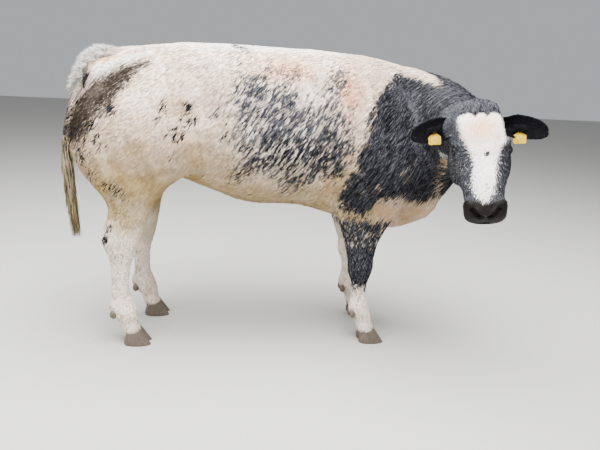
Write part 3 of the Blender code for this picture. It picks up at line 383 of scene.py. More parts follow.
# Level superellipse rings down a leg: x = middle + half length cos, y = middle + half width sin
def makeLeg(kind, side):
    angle = np.linspace(0, 2 * np.pi, 40, endpoint=False)[None, :]
    step = legs["farStep"][kind] * (side > 0)
    z, rear, front, inner, outer, power = (c[:, None] for c in smoothRows(legs[kind], 110).T)
    cos, sin = rounded(angle, power)
    x = (rear + front) / 2 + legShift(z, step) + (front - rear) / 2 * cos
    y = side * ((inner + outer) / 2 + (outer - inner) / 2 * sin)
    return loftFrom("leg", np.stack([x, y, z + 0 * x], -1))


# The head, in its own measures: along the face from the poll, to her left, and out of the face

head = {
    "poll": np.array((0.772, -0.522, 1.176)),
    "turn": math.radians(11.0),
    "slope": math.radians(46.0),
    "tip": math.radians(9.0),
    # distance from the poll, half width, face line, jaw line, squareness above and below
    "rows": (
        (-0.070, 0.045, -0.060, -0.140, 2.0, 2.0),
        (-0.038, 0.076, -0.020, -0.185, 2.2, 2.0),
        (0.010, 0.094, 0.000, -0.220, 2.8, 2.4),
        (0.075, 0.104, 0.004, -0.242, 3.0, 2.7),
        (0.145, 0.111, 0.004, -0.254, 3.0, 2.8),
        (0.195, 0.109, 0.001, -0.250, 2.8, 2.8),
        (0.252, 0.101, -0.003, -0.228, 2.6, 2.6),
        (0.310, 0.090, -0.006, -0.190, 2.5, 2.4),
        (0.368, 0.079, -0.007, -0.158, 2.6, 2.2),
        (0.415, 0.074, -0.008, -0.142, 2.7, 2.3),
        (0.452, 0.078, -0.012, -0.136, 2.8, 2.5),
        (0.478, 0.078, -0.024, -0.130, 2.6, 2.5),
        (0.492, 0.066, -0.042, -0.116, 2.3, 2.3),
    ),
    # soft strokes on both sides: from, to, radius, depth
    "strokes": (
        ((0.150, 0.064, 0.004), (0.170, 0.098, -0.010), 0.022, 0.006),
        ((0.218, 0.086, -0.028), (0.266, 0.082, -0.045), 0.020, -0.008),
        ((0.235, 0.100, -0.085), (0.330, 0.085, -0.075), 0.014, 0.004),
        ((0.275, 0.090, -0.125), (0.350, 0.074, -0.110), 0.024, -0.008),
        ((0.100, 0.000, 0.004), (0.140, 0.000, 0.004), 0.045, 0.004),
        ((0.215, 0.000, 0.000), (0.290, 0.000, -0.004), 0.035, -0.003),
        ((0.095, 0.103, -0.060), (0.130, 0.108, -0.070), 0.024, -0.007),
        ((0.487, 0.013, -0.042), (0.478, 0.038, -0.022), 0.008, 0.0040),
        ((0.446, 0.066, -0.060), (0.466, 0.058, -0.080), 0.020, 0.004),
        ((0.486, 0.000, -0.060), (0.490, 0.000, -0.095), 0.006, -0.004),
    ),
    # jaw muscle, brow over the eye and wing of the nostril, on both sides, and the chin: centre, radii
    "bumps": (
        ((0.168, 0.080, -0.158), (0.105, 0.047, 0.084)),
        ((0.190, 0.094, -0.042), (0.044, 0.027, 0.035)),
        ((0.448, 0.048, -0.045), (0.034, 0.034, 0.034)),
    ),
    "chin": ((0.436, 0.0, -0.118), (0.048, 0.054, 0.026)),
    "nostril": ((0.487, 0.018, -0.058), (0.484, 0.034, -0.046), (0.476, 0.046, -0.036)),
    "nostrilRadius": 0.0100,
    "nostrilDepth": 0.027,
    "mouth": ((0.494, 0.000, -0.104), (0.480, 0.045, -0.104), (0.440, 0.074, -0.100),
              (0.372, 0.074, -0.108)),
    "mouthRadius": 0.0040,
    "mouthDepth": 0.0080,
    "eye": (0.196, 0.0975, -0.047),
    "eyeRadius": 0.0185,
    "lidRadius": 0.0214,
    "lidOpening": (0.46, 0.38),
    "lidWidth": 0.86,
}


def headAxes():
    turn, slope = head["turn"], head["slope"]
    ahead = np.array((-math.sin(turn), -math.cos(turn), 0.0))
    up = np.array((0.0, 0.0, 1.0))
    along = ahead * math.cos(slope) - up * math.sin(slope)
    out = ahead * math.sin(slope) + up * math.cos(slope)
    left = np.array((-ahead[1], ahead[0], 0.0))
    spin = np.array(Matrix.Rotation(head["tip"], 3, Vector(along)))
    return np.array((along, spin @ left, spin @ out))


headFrame = headAxes()


def onHead(along, left, out):
    return head["poll"] + np.array((along, left, out)) @ headFrame


def headPlaces(points):
    return (points - head["poll"]) @ headFrame.T


def headVector(along, left, out):
    return unitOf(np.array((along, left, out)) @ headFrame)


def eyeCentre(side):
    return onHead(head["eye"][0], side * head["eye"][1], head["eye"][2])


# 1 on the head, falling to 0 a little way down the neck
def headShare(points):
    along, left, out = headPlaces(points).T
    between = ease(along, -0.10, -0.02) * (1 - ease(along, 0.60, 0.70))
    return between * (1 - ease(np.abs(out + 0.1), 0.30, 0.38)) * (1 - ease(np.abs(left), 0.15, 0.20))


# The same, but ending at the jaw and the nape, so that the neck behind them is no part of it
def faceShare(points):
    along, _, out = headPlaces(points).T
    return headShare(points) * ease(along, -0.06, -0.02) * (1 - ease(-out, 0.235, 0.265))


# Sections across the face, flat above and rounder at the jaw
def makeHead():
    angle = np.linspace(0, 2 * np.pi, 64, endpoint=False)[None, :]
    s, half, top, bottom, above, below = (c[:, None] for c in smoothRows(head["rows"], 80).T)
    cosUp, sinUp = rounded(angle, above)
    cosLow, sinLow = rounded(angle, below)
    upper = np.sin(angle) >= 0
    middle = top + (bottom - top) * 0.42
    across = half * np.where(upper, cosUp, cosLow)
    out = middle + np.where(upper, (top - middle) * sinUp, (middle - bottom) * sinLow)
    local = np.stack([s + 0 * across, across, out], -1)
    return loftFrom("head", head["poll"] + local @ headFrame)


# Splits every edge whose both ends are inside
def refineWhere(obj, inside):
    mesh = bmesh.new()
    mesh.from_mesh(obj.data)
    mesh.verts.ensure_lookup_table()
    edges = [e for e in mesh.edges if inside[e.verts[0].index] and inside[e.verts[1].index]]
    bmesh.ops.subdivide_edges(mesh, edges=edges, cuts=1, use_grid_fill=True)
    mesh.to_mesh(obj.data)
    mesh.free()


# An eye's own axes: out of the head, level along the slit, and upright
def eyeAxes(side):
    gaze = headVector(0.11, side * 0.69, 0.70)
    level = headVector(0.93, side * -0.10, -0.36)
    level = unitOf(level - gaze * (level @ gaze))
    upright = np.cross(gaze, level)
    upright = upright * (1.0 if upright @ headFrame[2] > 0 else -1.0)
    return gaze, level, upright


# Draws the skin over the eyeball, open in an almond between the lids, with a rim that stands a little proud
# and a fold over the upper lid: height above and below the slit = opening (1 - (across / width)^2)
def shapeLids(points, side):
    gaze, level, upright = eyeAxes(side)
    away = points - eyeCentre(side)
    reach = np.linalg.norm(away, axis=1)
    unit = away / np.maximum(reach, 1e-9)[:, None]
    front, across, up = unit @ gaze, unit @ level, unit @ upright
    room = np.clip(1 - (across / head["lidWidth"]) ** 2, 0, 1)
    height = np.where(up > 0, head["lidOpening"][0], head["lidOpening"][1]) * room
    opened = 1 - ease(np.abs(up) - height, -0.07, 0.05)
    rim = np.exp(-(((np.abs(up) - height - 0.10) / 0.09) ** 2)) * 0.0012
    fold = -np.exp(-(((np.abs(up) - height - 0.38) / 0.07) ** 2)) * 0.0016 * (up > 0)
    target = head["lidRadius"] + rim + fold - (head["lidRadius"] - head["eyeRadius"] + 0.004) * opened
    share = ease(front, 0.10, 0.45) * (1 - ease(reach, 0.030, 0.040))
    points += unit * ((target - reach) * share)[:, None]


# Strokes on the face, then the lids, nostrils and the line of the mouth
def shapeHead(obj):
    points, normals = readPoints(obj)
    for side in (-1, 1):
        for (s0, t0, n0), (s1, t1, n1), radius, depth in head["strokes"]:
            if t0 > 0 or side > 0:
                start, end = onHead(s0, side * t0, n0), onHead(s1, side * t1, n1)
                strokeSkin(points, normals, start, end, radius, depth)
        inward = headVector(-0.90, side * 0.06, -0.42)
        gap = lineGap(points, [onHead(s, side * t, n) for s, t, n in head["nostril"]])
        points += inward * (head["nostrilDepth"] * np.exp(-((gap / head["nostrilRadius"]) ** 2)))[:, None]
        gap = lineGap(points, [onHead(s, side * t, n) for s, t, n in head["mouth"]])
        points -= normals * (head["mouthDepth"] * np.exp(-((gap / head["mouthRadius"]) ** 2)))[:, None]
        shapeLids(points, side)
    writePoints(obj, points)


# The tail and the udder

tail = {
    # place and half width, from the croup down to the end of the flesh
    "rows": (
        (-0.700, 0.000, 1.288, 0.026),
        (-0.765, -0.002, 1.282, 0.031),
        (-0.815, -0.006, 1.246, 0.033),
        (-0.852, -0.014, 1.176, 0.030),
        (-0.884, -0.024, 1.080, 0.026),
        (-0.910, -0.034, 0.985, 0.022),
        (-0.924, -0.042, 0.890, 0.018),
        (-0.914, -0.047, 0.775, 0.014),
        (-0.902, -0.050, 0.665, 0.009),
        (-0.893, -0.050, 0.590, 0.004),
    ),
    "switchTip": 0.450,
}


# A round section carried along a list of (x, y, z, half width)
def sweepPath(name, path, columns, rows):
    table = smoothRows(path, rows)
    run = unitOf(np.gradient(table[:, :3], axis=0))
    across = unitOf(np.cross(run, np.array((1.0, 0.0, 0.0))))
    deep = np.cross(run, across)
    angle = np.linspace(0, 2 * np.pi, columns, endpoint=False)[None, :, None]
    ring = np.cos(angle) * across[:, None] + np.sin(angle) * deep[:, None]
    return loftFrom(name, table[:, None, :3] + ring * table[:, None, 3:4])


udder = {
    "centre": (-0.545, 0.012, 0.800),
    "radii": (0.083, 0.060, 0.066),
    "teats": ((-0.580, -0.014), (-0.580, 0.038), (-0.515, -0.014), (-0.515, 0.038)),
    "teatRows": ((0.775, 0.012), (0.745, 0.0105), (0.715, 0.0095), (0.704, 0.005)),       # height, half width
}


def makeUdder():
    teats = [[(x, y, z, half) for z, half in udder["teatRows"]] for x, y in udder["teats"]]
    bag = ballFrom("udder", udder["centre"], udder["radii"])
    return [bag] + [sweepPath("teat", path, 16, 16) for path in teats]


coatDepth = {"trunk": 0.0045, "legs": 0.0025, "head": 0.0015}


# The whole body in one skin: lofts and muscles fused, smoothed and worked over, then drawn in by the
# depth of the coat that will stand on it
def makeSkin():
    pieces = [makeTorso(), makeNeck(), makeHead()]
    for side in (-1, 1):
        pieces += [makeLeg("hind", side), makeLeg("fore", side)]
        for (s, t, n), radii in head["bumps"]:
            pieces.append(ballFrom("bump", onHead(s, side * t, n), radii, headFrame))
        pieces += [ballFrom("muscle", (x, side * y, z), radii) for (x, y, z), radii in trunk["muscles"]]
    pieces.append(ballFrom("chin", onHead(*head["chin"][0]), head["chin"][1], headFrame))
    skin = fusePieces("skin", pieces, trunk["voxel"])
    points = readPoints(skin)[0]
    soften(skin, ease(points[:, 2], 0.55, 0.75) * (1 - headShare(points)), trunk["smoothing"])
    soften(skin, np.ones(len(skin.data.vertices)), 10)
    points, normals = readPoints(skin)
    for start, end, radius, depth in neck["folds"]:
        strokeSkin(points, normals, start, end, radius, depth)
    for side in (-1, 1):
        for (x0, y0, z0), (x1, y1, z1), radius, depth in trunk["strokes"]:
            if y0 > 0 or side > 0:
                strokeSkin(points, normals, (x0, side * y0, z0), (x1, side * y1, z1), radius, depth)
        for (x0, y0, z0), (x1, y1, z1), radius, depth in legs["strokes"]:
            step = legs["farStep"]["hind" if x0 < 0 else "fore"] * (side > 0)
            start = (x0 + legShift(z0, step), side * y0, z0)
            end = (x1 + legShift(z1, step), side * y1, z1)
            strokeSkin(points, normals, start, end, radius, depth)
    writePoints(skin, points)
    hung = [sweepPath("tail", tail["rows"][:8], 24, 60)] + makeUdder()
    skin = fusePieces("skin", [skin] + hung, trunk["tailVoxel"])
    soften(skin, np.ones(len(skin.data.vertices)), 4)
    refineWhere(skin, headShare(readPoints(skin)[0]) > 0.3)
    soften(skin, headShare(readPoints(skin)[0]), 3)
    places = headPlaces(readPoints(skin)[0])
    nearEye = np.linalg.norm(places * (1, 0, 1) - np.array(head["eye"]) * (1, 0, 1), axis=1) < 0.045
    refineWhere(skin, ((places[:, 0] > 0.40) | nearEye) & (headShare(readPoints(skin)[0]) > 0.5))
    shapeHead(skin)
    points, normals = readPoints(skin)
    share, high = headShare(points), ease(points[:, 2], 0.40, 0.80)
    depth = coatDepth["trunk"] * high + coatDepth["legs"] * (1 - high)
    depth = depth * (1 - share) + coatDepth["head"] * share
    depth = depth * (1 - bareShare(points)) * ease(points[:, 2], 0.05, 0.12)
    writePoints(skin, points - normals * depth[:, None])
    thinSkin(skin, trunk["triangles"])
    return skin


# Two shares near the eyes: 1 between the lids and on their rims, and 1 falling to 0 round them
def eyeShares(points):
    opening, ring = np.zeros(len(points)), np.zeros(len(points))
    for side in (-1, 1):
        away = points - eyeCentre(side)
        reach = np.linalg.norm(away, axis=1)
        front, across, up = (unitOf(away) @ np.array(eyeAxes(side)).T).T
        room = np.clip(1 - (across / (head["lidWidth"] + 0.06)) ** 2, 0, 1)
        height = np.where(up > 0, head["lidOpening"][0], head["lidOpening"][1]) * room
        gap = (1 - ease(np.abs(up) - height, 0.10, 0.18)) * ease(front, 0.15, 0.35) * (reach < 0.030)
        opening = np.maximum(opening, gap)
        ring = np.maximum(ring, 1 - ease(reach, 0.024, 0.052))
    return opening, ring


# Where the skin is bare: the muzzle and lips, the rims of the lids, and the udder and its teats
def bareShare(points):
    along, left, out = headPlaces(points).T
    edge = 0.448 - 0.020 * ease(-out, 0.06, 0.11) + 0.012 * np.cos(left / 0.078 * math.pi)
    muzzle = ease(along - edge, -0.004, 0.004) * (headShare(points) > 0.5)
    bag = np.linalg.norm((points - (-0.547, 0.012, 0.770)) / (0.100, 0.080, 0.080), axis=1)
    return np.maximum(np.maximum(muzzle, 1 - ease(bag, 0.85, 1.05)), eyeShares(points)[0])


# Fewer triangles on the broad forms, most of them kept on the head
def thinSkin(obj, triangles):
    thin = obj.modifiers.new("thin", "DECIMATE")
    thin.vertex_group = weighGroup(obj, "plain", 1 - 0.55 * headShare(readPoints(obj)[0]))
    thin.vertex_group_factor = 1.0
    thin.ratio = min(1.0, triangles / (len(obj.data.polygons) * 2))
    applyModifiers(obj)
    obj.vertex_groups.clear()


# Markings: where dark hair, dirt, pink skin, beige hair and grey strands are, with painted shade, sheen and
# highlight among them

markings = {
    # the shoulder's black begins ahead of this line: height, x
    "shoulder": ((0.60, 0.700, 0.796, 0.858, 0.902, 0.955, 0.997, 1.060, 1.127, 1.187, 1.234, 1.269, 1.32),
                 (0.30, 0.285, 0.290, 0.318, 0.335, 0.342, 0.352, 0.372, 0.400, 0.440, 0.490, 0.530, 0.60)),
    # and ends below at this one: x, height
    "brisket": ((0.30, 0.36, 0.40, 0.44, 0.46, 0.51, 0.58, 0.64, 0.66, 0.70, 0.76, 0.80, 0.90),
                (0.66, 0.665, 0.675, 0.70, 0.75, 0.745, 0.765, 0.730, 0.708, 0.700, 0.715, 0.72, 0.72)),
    # half widths of the white blaze to her right and to her left, by distance along the face
    "blazeAlong": (0.00, 0.040, 0.104, 0.175, 0.219, 0.243, 0.285, 0.325, 0.346, 0.385, 0.430, 0.462),
    "blazeRight": (0.092, 0.092, 0.086, 0.070, 0.052, 0.042, 0.037, 0.042, 0.045, 0.054, 0.040, 0.016),
    "blazeLeft": (0.086, 0.088, 0.095, 0.095, 0.068, 0.060, 0.050, 0.046, 0.045, 0.045, 0.028, 0.006),
    # clouds of flecks: x, height, half length along the lie of the hair, half width, share of dark hair
    "roan": (
        (-0.041, 0.907, 0.055, 0.085, 0.80), (0.136, 0.858, 0.085, 0.055, 0.78),
        (0.178, 0.894, 0.080, 0.050, 0.50), (0.038, 1.013, 0.100, 0.120, 0.46),
        (-0.152, 1.193, 0.070, 0.058, 0.62), (-0.085, 1.200, 0.120, 0.030, 0.64),
        (0.008, 1.168, 0.060, 0.048, 0.62), (-0.171, 0.798, 0.055, 0.040, 0.56),
        (-0.110, 0.885, 0.060, 0.050, 0.50), (0.057, 0.775, 0.065, 0.045, 0.52),
        (-0.089, 1.024, 0.130, 0.120, 0.34), (-0.257, 1.106, 0.080, 0.040, 0.32),
        (-0.229, 0.967, 0.070, 0.040, 0.34), (0.256, 1.240, 0.090, 0.055, 0.62),
        (0.256, 0.865, 0.100, 0.075, 0.40), (0.210, 1.051, 0.130, 0.090, 0.48),
        (0.064, 1.251, 0.060, 0.010, 1.00), (-0.177, 1.288, 0.026, 0.018, 0.95),
        (-0.158, 1.341, 0.014, 0.050, 0.80), (0.290, 0.960, 0.160, 0.060, 0.36),
        (-0.820, 0.900, 0.100, 0.045, 0.66), (-0.785, 0.800, 0.050, 0.030, 0.60),
        (-0.850, 0.985, 0.050, 0.040, 0.62),
    ),
    # single spots, in the same columns: on her right, and on the left
    "rightSpots": (
        (-0.695, 1.085, 0.022, 0.008, 1.3), (-0.503, 1.046, 0.018, 0.008, 1.3),
        (-0.485, 1.102, 0.030, 0.004, 1.0), (-0.380, 1.100, 0.018, 0.009, 1.2),
        (-0.401, 1.042, 0.012, 0.012, 1.4), (-0.375, 1.037, 0.012, 0.011, 1.4),
        (-0.348, 1.050, 0.015, 0.010, 1.3), (-0.467, 0.984, 0.012, 0.008, 1.3),
        (-0.443, 0.968, 0.014, 0.007, 1.3), (-0.439, 0.910, 0.008, 0.008, 1.2),
        (-0.453, 0.890, 0.007, 0.007, 1.2), (-0.760, 1.021, 0.020, 0.009, 1.2),
        (-0.781, 0.994, 0.018, 0.008, 1.1), (-0.752, 0.964, 0.022, 0.009, 1.2),
        (-0.738, 0.926, 0.022, 0.008, 1.2), (-0.707, 0.944, 0.018, 0.006, 1.0),
        (-0.313, 0.796, 0.005, 0.005, 1.3), (-0.082, 0.814, 0.005, 0.005, 1.3),
        (-0.104, 0.717, 0.004, 0.005, 1.2), (-0.713, 0.560, 0.014, 0.007, 1.5),
        (-0.739, 0.503, 0.018, 0.011, 1.6),
    ),
    "leftSpots": (
        (-0.420, 1.080, 0.022, 0.016, 1.3), (-0.455, 1.050, 0.014, 0.010, 1.3),
        (-0.520, 0.990, 0.016, 0.008, 1.2), (-0.610, 1.060, 0.016, 0.007, 1.2),
        (-0.350, 0.960, 0.020, 0.010, 1.2), (-0.700, 0.990, 0.024, 0.009, 1.2),
        (-0.735, 0.930, 0.024, 0.009, 1.2), (-0.480, 0.905, 0.008, 0.008, 1.2),
        (-0.660, 0.545, 0.014, 0.009, 1.4),
    ),
    # soiled where she lies: x, height, half width of the band on her haunch, and of the stain above the
    # hock
    "soiled": ((-0.545, 1.276, 0.010), (-0.640, 1.222, 0.038), (-0.725, 1.150, 0.062), (-0.795, 1.085, 0.074),
               (-0.855, 1.010, 0.070), (-0.895, 0.940, 0.040)),
    "stained": ((-0.725, 0.765, 0.020), (-0.684, 0.747, 0.026), (-0.645, 0.706, 0.018)),
    # how dark the forelegs are, near and far: height, share
    "arm": ((0.10, 0.24, 0.28, 0.32, 0.46, 0.50, 0.55, 0.60, 0.63, 0.66, 0.69),
            (0.15, 0.15, 0.60, 0.92, 0.90, 0.66, 0.66, 0.80, 0.36, 0.34, 0.80)),
    "farArm": ((0.10, 0.24, 0.28, 0.36, 0.46, 0.56, 0.66), (0.15, 0.15, 0.15, 0.14, 0.24, 0.60, 0.70)),
    # ovals in the shoulder's black, in the columns of the roan: where white hair mixes in, and where grey
    # does
    "mixed": ((0.385, 1.020, 0.110, 0.030, 0.55), (0.350, 0.880, 0.080, 0.024, 0.35),
              (0.575, 0.860, 0.060, 0.030, 0.34), (0.455, 0.790, 0.030, 0.030, 0.40)),
    "greyed": ((0.385, 1.030, 0.140, 0.050, 1.0), (0.380, 0.800, 0.100, 0.060, 0.8)),
    # the ridge from the tail's root forward to the loin, where a painted highlight whitens the lit crest of her
    # right buttock
    "ridge": ((-0.759, -0.140, 1.226), (-0.709, -0.142, 1.253), (-0.643, -0.140, 1.284),
              (-0.56, -0.12, 1.31)),
}
lean = (math.sin(math.radians(28)), math.cos(math.radians(28)))


def nearness(points, centre, radii):
    return np.exp(-(((points - np.asarray(centre)) / np.asarray(radii)) ** 2).sum(1))


def streakNear(points, start, end, radius):
    return np.exp(-((lineGap(points, (start, end)) / radius) ** 2))


# How dark a table of soft ovals makes each place, a and b along and across the lie of the hair:
# 1 - product of (1 - share exp(-(a / length)^2 - (b / width)^2))
def patchShare(x, z, rows):
    clear = np.ones(len(x))
    for centreX, centreZ, length, width, share in rows:
        a = (x - centreX) * lean[0] + (z - centreZ) * lean[1]
        b = (x - centreX) * lean[1] - (z - centreZ) * lean[0]
        clear *= 1 - np.minimum(share * np.exp(-((a / length) ** 2) - (b / width) ** 2), 1)
    return 1 - clear


# 1 inside a bent band through rows of x, height and half width, falling to 0 over a soft edge
def bandShare(x, z, rows, soft):
    gap = np.full(len(x), 9.0)
    for (x0, z0, r0), (x1, z1, r1) in zip(rows, rows[1:]):
        runX, runZ = x1 - x0, z1 - z0
        part = np.clip(((x - x0) * runX + (z - z0) * runZ) / (runX**2 + runZ**2), 0, 1)
        gap = np.minimum(gap, np.hypot(x - x0 - part * runX, z - z0 - part * runZ) - r0 - (r1 - r0) * part)
    return 1 - ease(gap, -soft / 2, soft / 2)


# The head's dark hair: a white blaze between mottled cheeks, black round the eyes and muzzle, a dark poll
def faceDark(points):
    along, left, out = headPlaces(points).T
    right = np.interp(along, markings["blazeAlong"], markings["blazeRight"])
    leftWide = np.interp(along, markings["blazeAlong"], markings["blazeLeft"])
    blaze = ease(left + right, -0.018, 0.026) * (1 - ease(left - leftWide, -0.026, 0.018))
    lockPoints = 0.024 * (np.exp(-(((left + 0.020) / 0.008) ** 2)) + np.exp(-(((left - 0.025) / 0.007) ** 2)))
    blaze = blaze * ease(out, -0.070, -0.042) * ease(along - lockPoints, 0.036, 0.050)
    cheek = 0.88 - 0.07 * ease(along, 0.20, 0.26) * (1 - ease(along, 0.34, 0.40))
    cheek = cheek - 0.34 * ease(-out, 0.175, 0.215)
    darker = [cheek, 0.97 * ease(along, 0.385, 0.425), 0.97 * (1 - ease(along, 0.05, 0.10))]
    for side in (-1, 1):
        gap = np.linalg.norm((points - eyeCentre(side)) @ headFrame.T * (0.85, 1, 1.0), axis=1)
        tear = onHead(0.222, side * 0.090, -0.045), onHead(0.250, side * 0.074, -0.040)
        darker += [1.0 - ease(gap, 0.018, 0.032), 0.98 * streakNear(points, *tear, 0.014)]
    cheek = np.maximum.reduce(darker)
    whorl = np.exp(-(((along - 0.238) / 0.015) ** 2) - ((left - 0.016) / 0.014) ** 2)
    inBlaze = 0.22 * ease(along, 0.30, 0.40) + 0.06 + 0.80 * whorl
    return np.clip(cheek * (1 - blaze) + inBlaze * blaze, 0, 1), blaze


# Three shares from 0 to 1 at each point: dark hair, dirt and pink, with painted shade among the dark hair and
# the dirt
def marksAt(points):
    x, y, z = points.T
    share = faceShare(points)
    isLeft = y > 0
    flat = points * (1, 0, 1)
    edge = np.interp(z, *markings["shoulder"]) + 0.03 * isLeft
    behind = ease(x - edge, -0.020, 0.034)
    under = ease(z - np.interp(x, *markings["brisket"]), -0.070, 0.036)
    crest = lineGap(points, [row[0:3] for row in neck["rows"]])
    white = np.interp(x, (0.42, 0.60, 0.68, 0.722, 0.742), (0.075, 0.055, 0.036, 0.022, -0.03))
    topBand = ease(crest - white, -0.008, 0.016)
    throat = np.maximum(streakNear(points, (0.700, -0.398, 0.958), (0.716, -0.365, 0.924), 0.018),
                        streakNear(points, (0.716, -0.365, 0.924), (0.794, -0.127, 0.744), 0.040))
    mixed = patchShare(x, z, markings["mixed"])
    dark = behind * under * topBand * (1 - 0.55 * throat) * (1 - mixed)
    # roan flecks and spots
    ribs = patchShare(x, z, markings["roan"])
    scattered = nearness(flat, (0.045, 0.0, 1.000), (0.28, 1.0, 0.26))
    ribs = np.clip(0.86 * ribs + 0.40 * scattered, 0, 0.61) * (np.abs(y) > 0.05) * (z > 0.62)
    leftSpots, rightSpots = (patchShare(x, z, markings[name]) for name in ("leftSpots", "rightSpots"))
    spots = 1.6 * np.where(isLeft, leftSpots, rightSpots) * (np.abs(y) > 0.05) * (x < 0.1)
    dark = np.maximum.reduce([dark, ribs * np.where(x > 0, 1 - behind, 1.0), spots])
    # mixed hair at the elbow, black forearms and knees, whiter on the inside and below
    foreleg = ease(x, 0.26, 0.30) * (1 - ease(z, 0.62, 0.68)) * (1 - ease(x, 0.55, 0.60))
    foreleg = foreleg * ease(np.abs(y), 0.07, 0.11)
    arm, farArm = (np.interp(z, *markings[name]) for name in ("arm", "farArm"))
    strip = isLeft * (1 - ease(y, 0.150, 0.175)) * (1 - ease(x, 0.405, 0.43))
    strip = strip * ease(z, 0.30, 0.34) * (1 - ease(z, 0.48, 0.52))
    dark = np.maximum(dark * (1 - foreleg), foreleg * np.where(isLeft, farArm, arm) * (1 - 0.9 * strip))
    # the far hind cannon is mottled behind and at the fetlock
    hindCannon = (x < -0.3) * isLeft * ease(z, 0.08, 0.12) * (1 - ease(z, 0.42, 0.50))
    mottled = np.maximum(1 - ease(x, -0.640, -0.600), 1 - ease(np.abs(z - 0.19), 0.03, 0.06))
    # the tail's dock is streaked grey, its root whiter
    dock = np.exp(-((lineGap(points, [row[:3] for row in tail["rows"][2:8]]) / 0.045) ** 2))
    dark = np.maximum.reduce([
        dark,
        0.20 * hindCannon * mottled,
        0.50 * dock * (1 - ease(z, 1.12, 1.18)),
        # painted shade: dark hair in the hollow between the tail's root and her right buttock
        0.9 * nearness(points, (-0.815, -0.075, 1.190), (0.050, 0.045, 0.050)),
    ])
    face, blaze = faceDark(points)
    dark = dark * (1 - share) + face * share
    # dried dirt on the haunch, above the hock, behind the thigh, on the hock, down the dock, on the far hind
    # cannon and at the feet, and painted shade along the belly
    soiled = bandShare(x, z, markings["soiled"], 0.085) * ease(np.abs(y), 0.075, 0.12)
    dirt = np.maximum.reduce([
        soiled * np.where(isLeft, 0.75, 1.0),
        0.75 * bandShare(x, z, markings["stained"], 0.05) * ease(-y, 0.12, 0.2),
        0.55 * streakNear(points, (-0.80, 0.14, 0.90), (-0.76, 0.20, 0.74), 0.070),
        0.45 * nearness(points, (-0.690, -0.215, 0.430), (0.05, 0.04, 0.03)),
        0.72 * dock * (1 - ease(z, 1.06, 1.20)),
        # painted shade: the underside of the belly darkened with the mud colour
        0.34 * (1 - ease(z, 0.66, 0.76)) * ease(z, 0.56, 0.64) * (x > -0.45) * (x < 0.3),
        0.24 * hindCannon * mottled,
        0.30 * (1 - ease(z, 0.06, 0.20)),
    ])
    # skin shows pink over the ribs, beside the tail's root, at the brisket, elbow and brow, and behind
    # the shoulder
    pink = np.maximum.reduce([
        0.85 * streakNear(points, (-0.06, -0.22, 1.26), (0.10, -0.22, 1.27), 0.060),
        0.85 * streakNear(points, (-0.06, 0.22, 1.26), (0.10, 0.22, 1.27), 0.060),
        0.9 * nearness(points, (-0.735, -0.095, 1.266), (0.045, 0.04, 0.022)),
        0.26 * ease(x, 0.42, 0.50) * (1 - under) * ease(z, 0.50, 0.58),
        0.32 * nearness(points, (0.235, -0.22, 0.80), (0.05, 0.3, 0.10)),
        share * blaze * 0.58 * nearness(points, onHead(0.12, 0.0, 0.0), (0.09, 0.06, 0.09)),
        0.90 * nearness(flat, (0.31, 0.0, 1.17), (0.07, 1.0, 0.11)),
        0.13 * (1 - share) * ease(z, 0.50, 0.80),
    ])
    return np.clip(np.stack([dark, dirt, pink], 1), 0, 1)


# Three more: beige hair with painted shade low on the body, grey strands among the dark ones with a painted
# sheen, and an even white with a painted highlight
def tonesAt(points):
    x, y, z = points.T
    share = faceShare(points)
    flat = points * (1, 0, 1)
    # painted shade: the hair turns beige and darker towards the bottom of the body
    beigeAndShade = 0.08 + 0.80 * (1 - ease(z, 0.72, 1.20)) * ease(z, 0.48, 0.62)
    beigeAndShade = beigeAndShade * (1 - 0.45 * ease(x, 0.40, 0.55) * (1 - ease(z, 0.78, 0.90)))
    fold = np.hypot((x + 0.44) / 0.078, (z - 1.105) / 0.052)
    beigeAndShade = np.maximum(beigeAndShade, 0.55 * (1 - ease(fold, 0.75, 1.0)) * (np.abs(y) > 0.1))
    # painted sheen: grey-white strands lighten the black, most of them along the neck
    greyAndSheen = 0.40 + 0.50 * nearness(points, (0.690, -0.280, 1.190), (0.10, 0.20, 0.09))
    greyAndSheen = np.maximum(greyAndSheen, 0.60 * patchShare(x, z, markings["greyed"]))
    poll = 1 - ease(headPlaces(points)[:, 0], 0.04, 0.08)
    bluer = 0.70 - 0.55 * nearness(flat, (0.07, 0.0, 0.89), (0.26, 1.0, 0.10))
    bluer = bluer * (1 - 0.9 * (1 - ease(x, -0.34, -0.26)))
    greyAndSheen = np.where(x < 0.28, bluer, greyAndSheen) * (1 - share) + (0.42 + 0.20 * poll) * share
    brow = nearness(points, onHead(0.12, 0.0, 0.0), (0.09, 0.07, 0.10))
    whiteAndHighlight = np.maximum.reduce([
        # painted highlight: purer white along the lit ridge of the buttock and along the top of the back
        1 - ease(lineGap(points, markings["ridge"]), 0.018, 0.032),
        ease(z, 1.325, 1.345) * (x < 0.3),
        share * (0.8 - 0.75 * brow),
        0.55 * nearness(flat, (0.03, 0.0, 0.99), (0.22, 1.0, 0.20)) * (1 - share),
    ])
    return np.stack([np.clip(beigeAndShade, 0, 1), np.clip(greyAndSheen, 0, 1), whiteAndHighlight], 1)


# Three more: bare skin, hair combed along the back, and hair combed along the face
def partsAt(points, normals):
    share = faceShare(points)
    top = ease(np.abs(normals[:, 2]), 0.55, 0.85) * (1 - share)
    return np.stack([bareShare(points), top, share], 1)


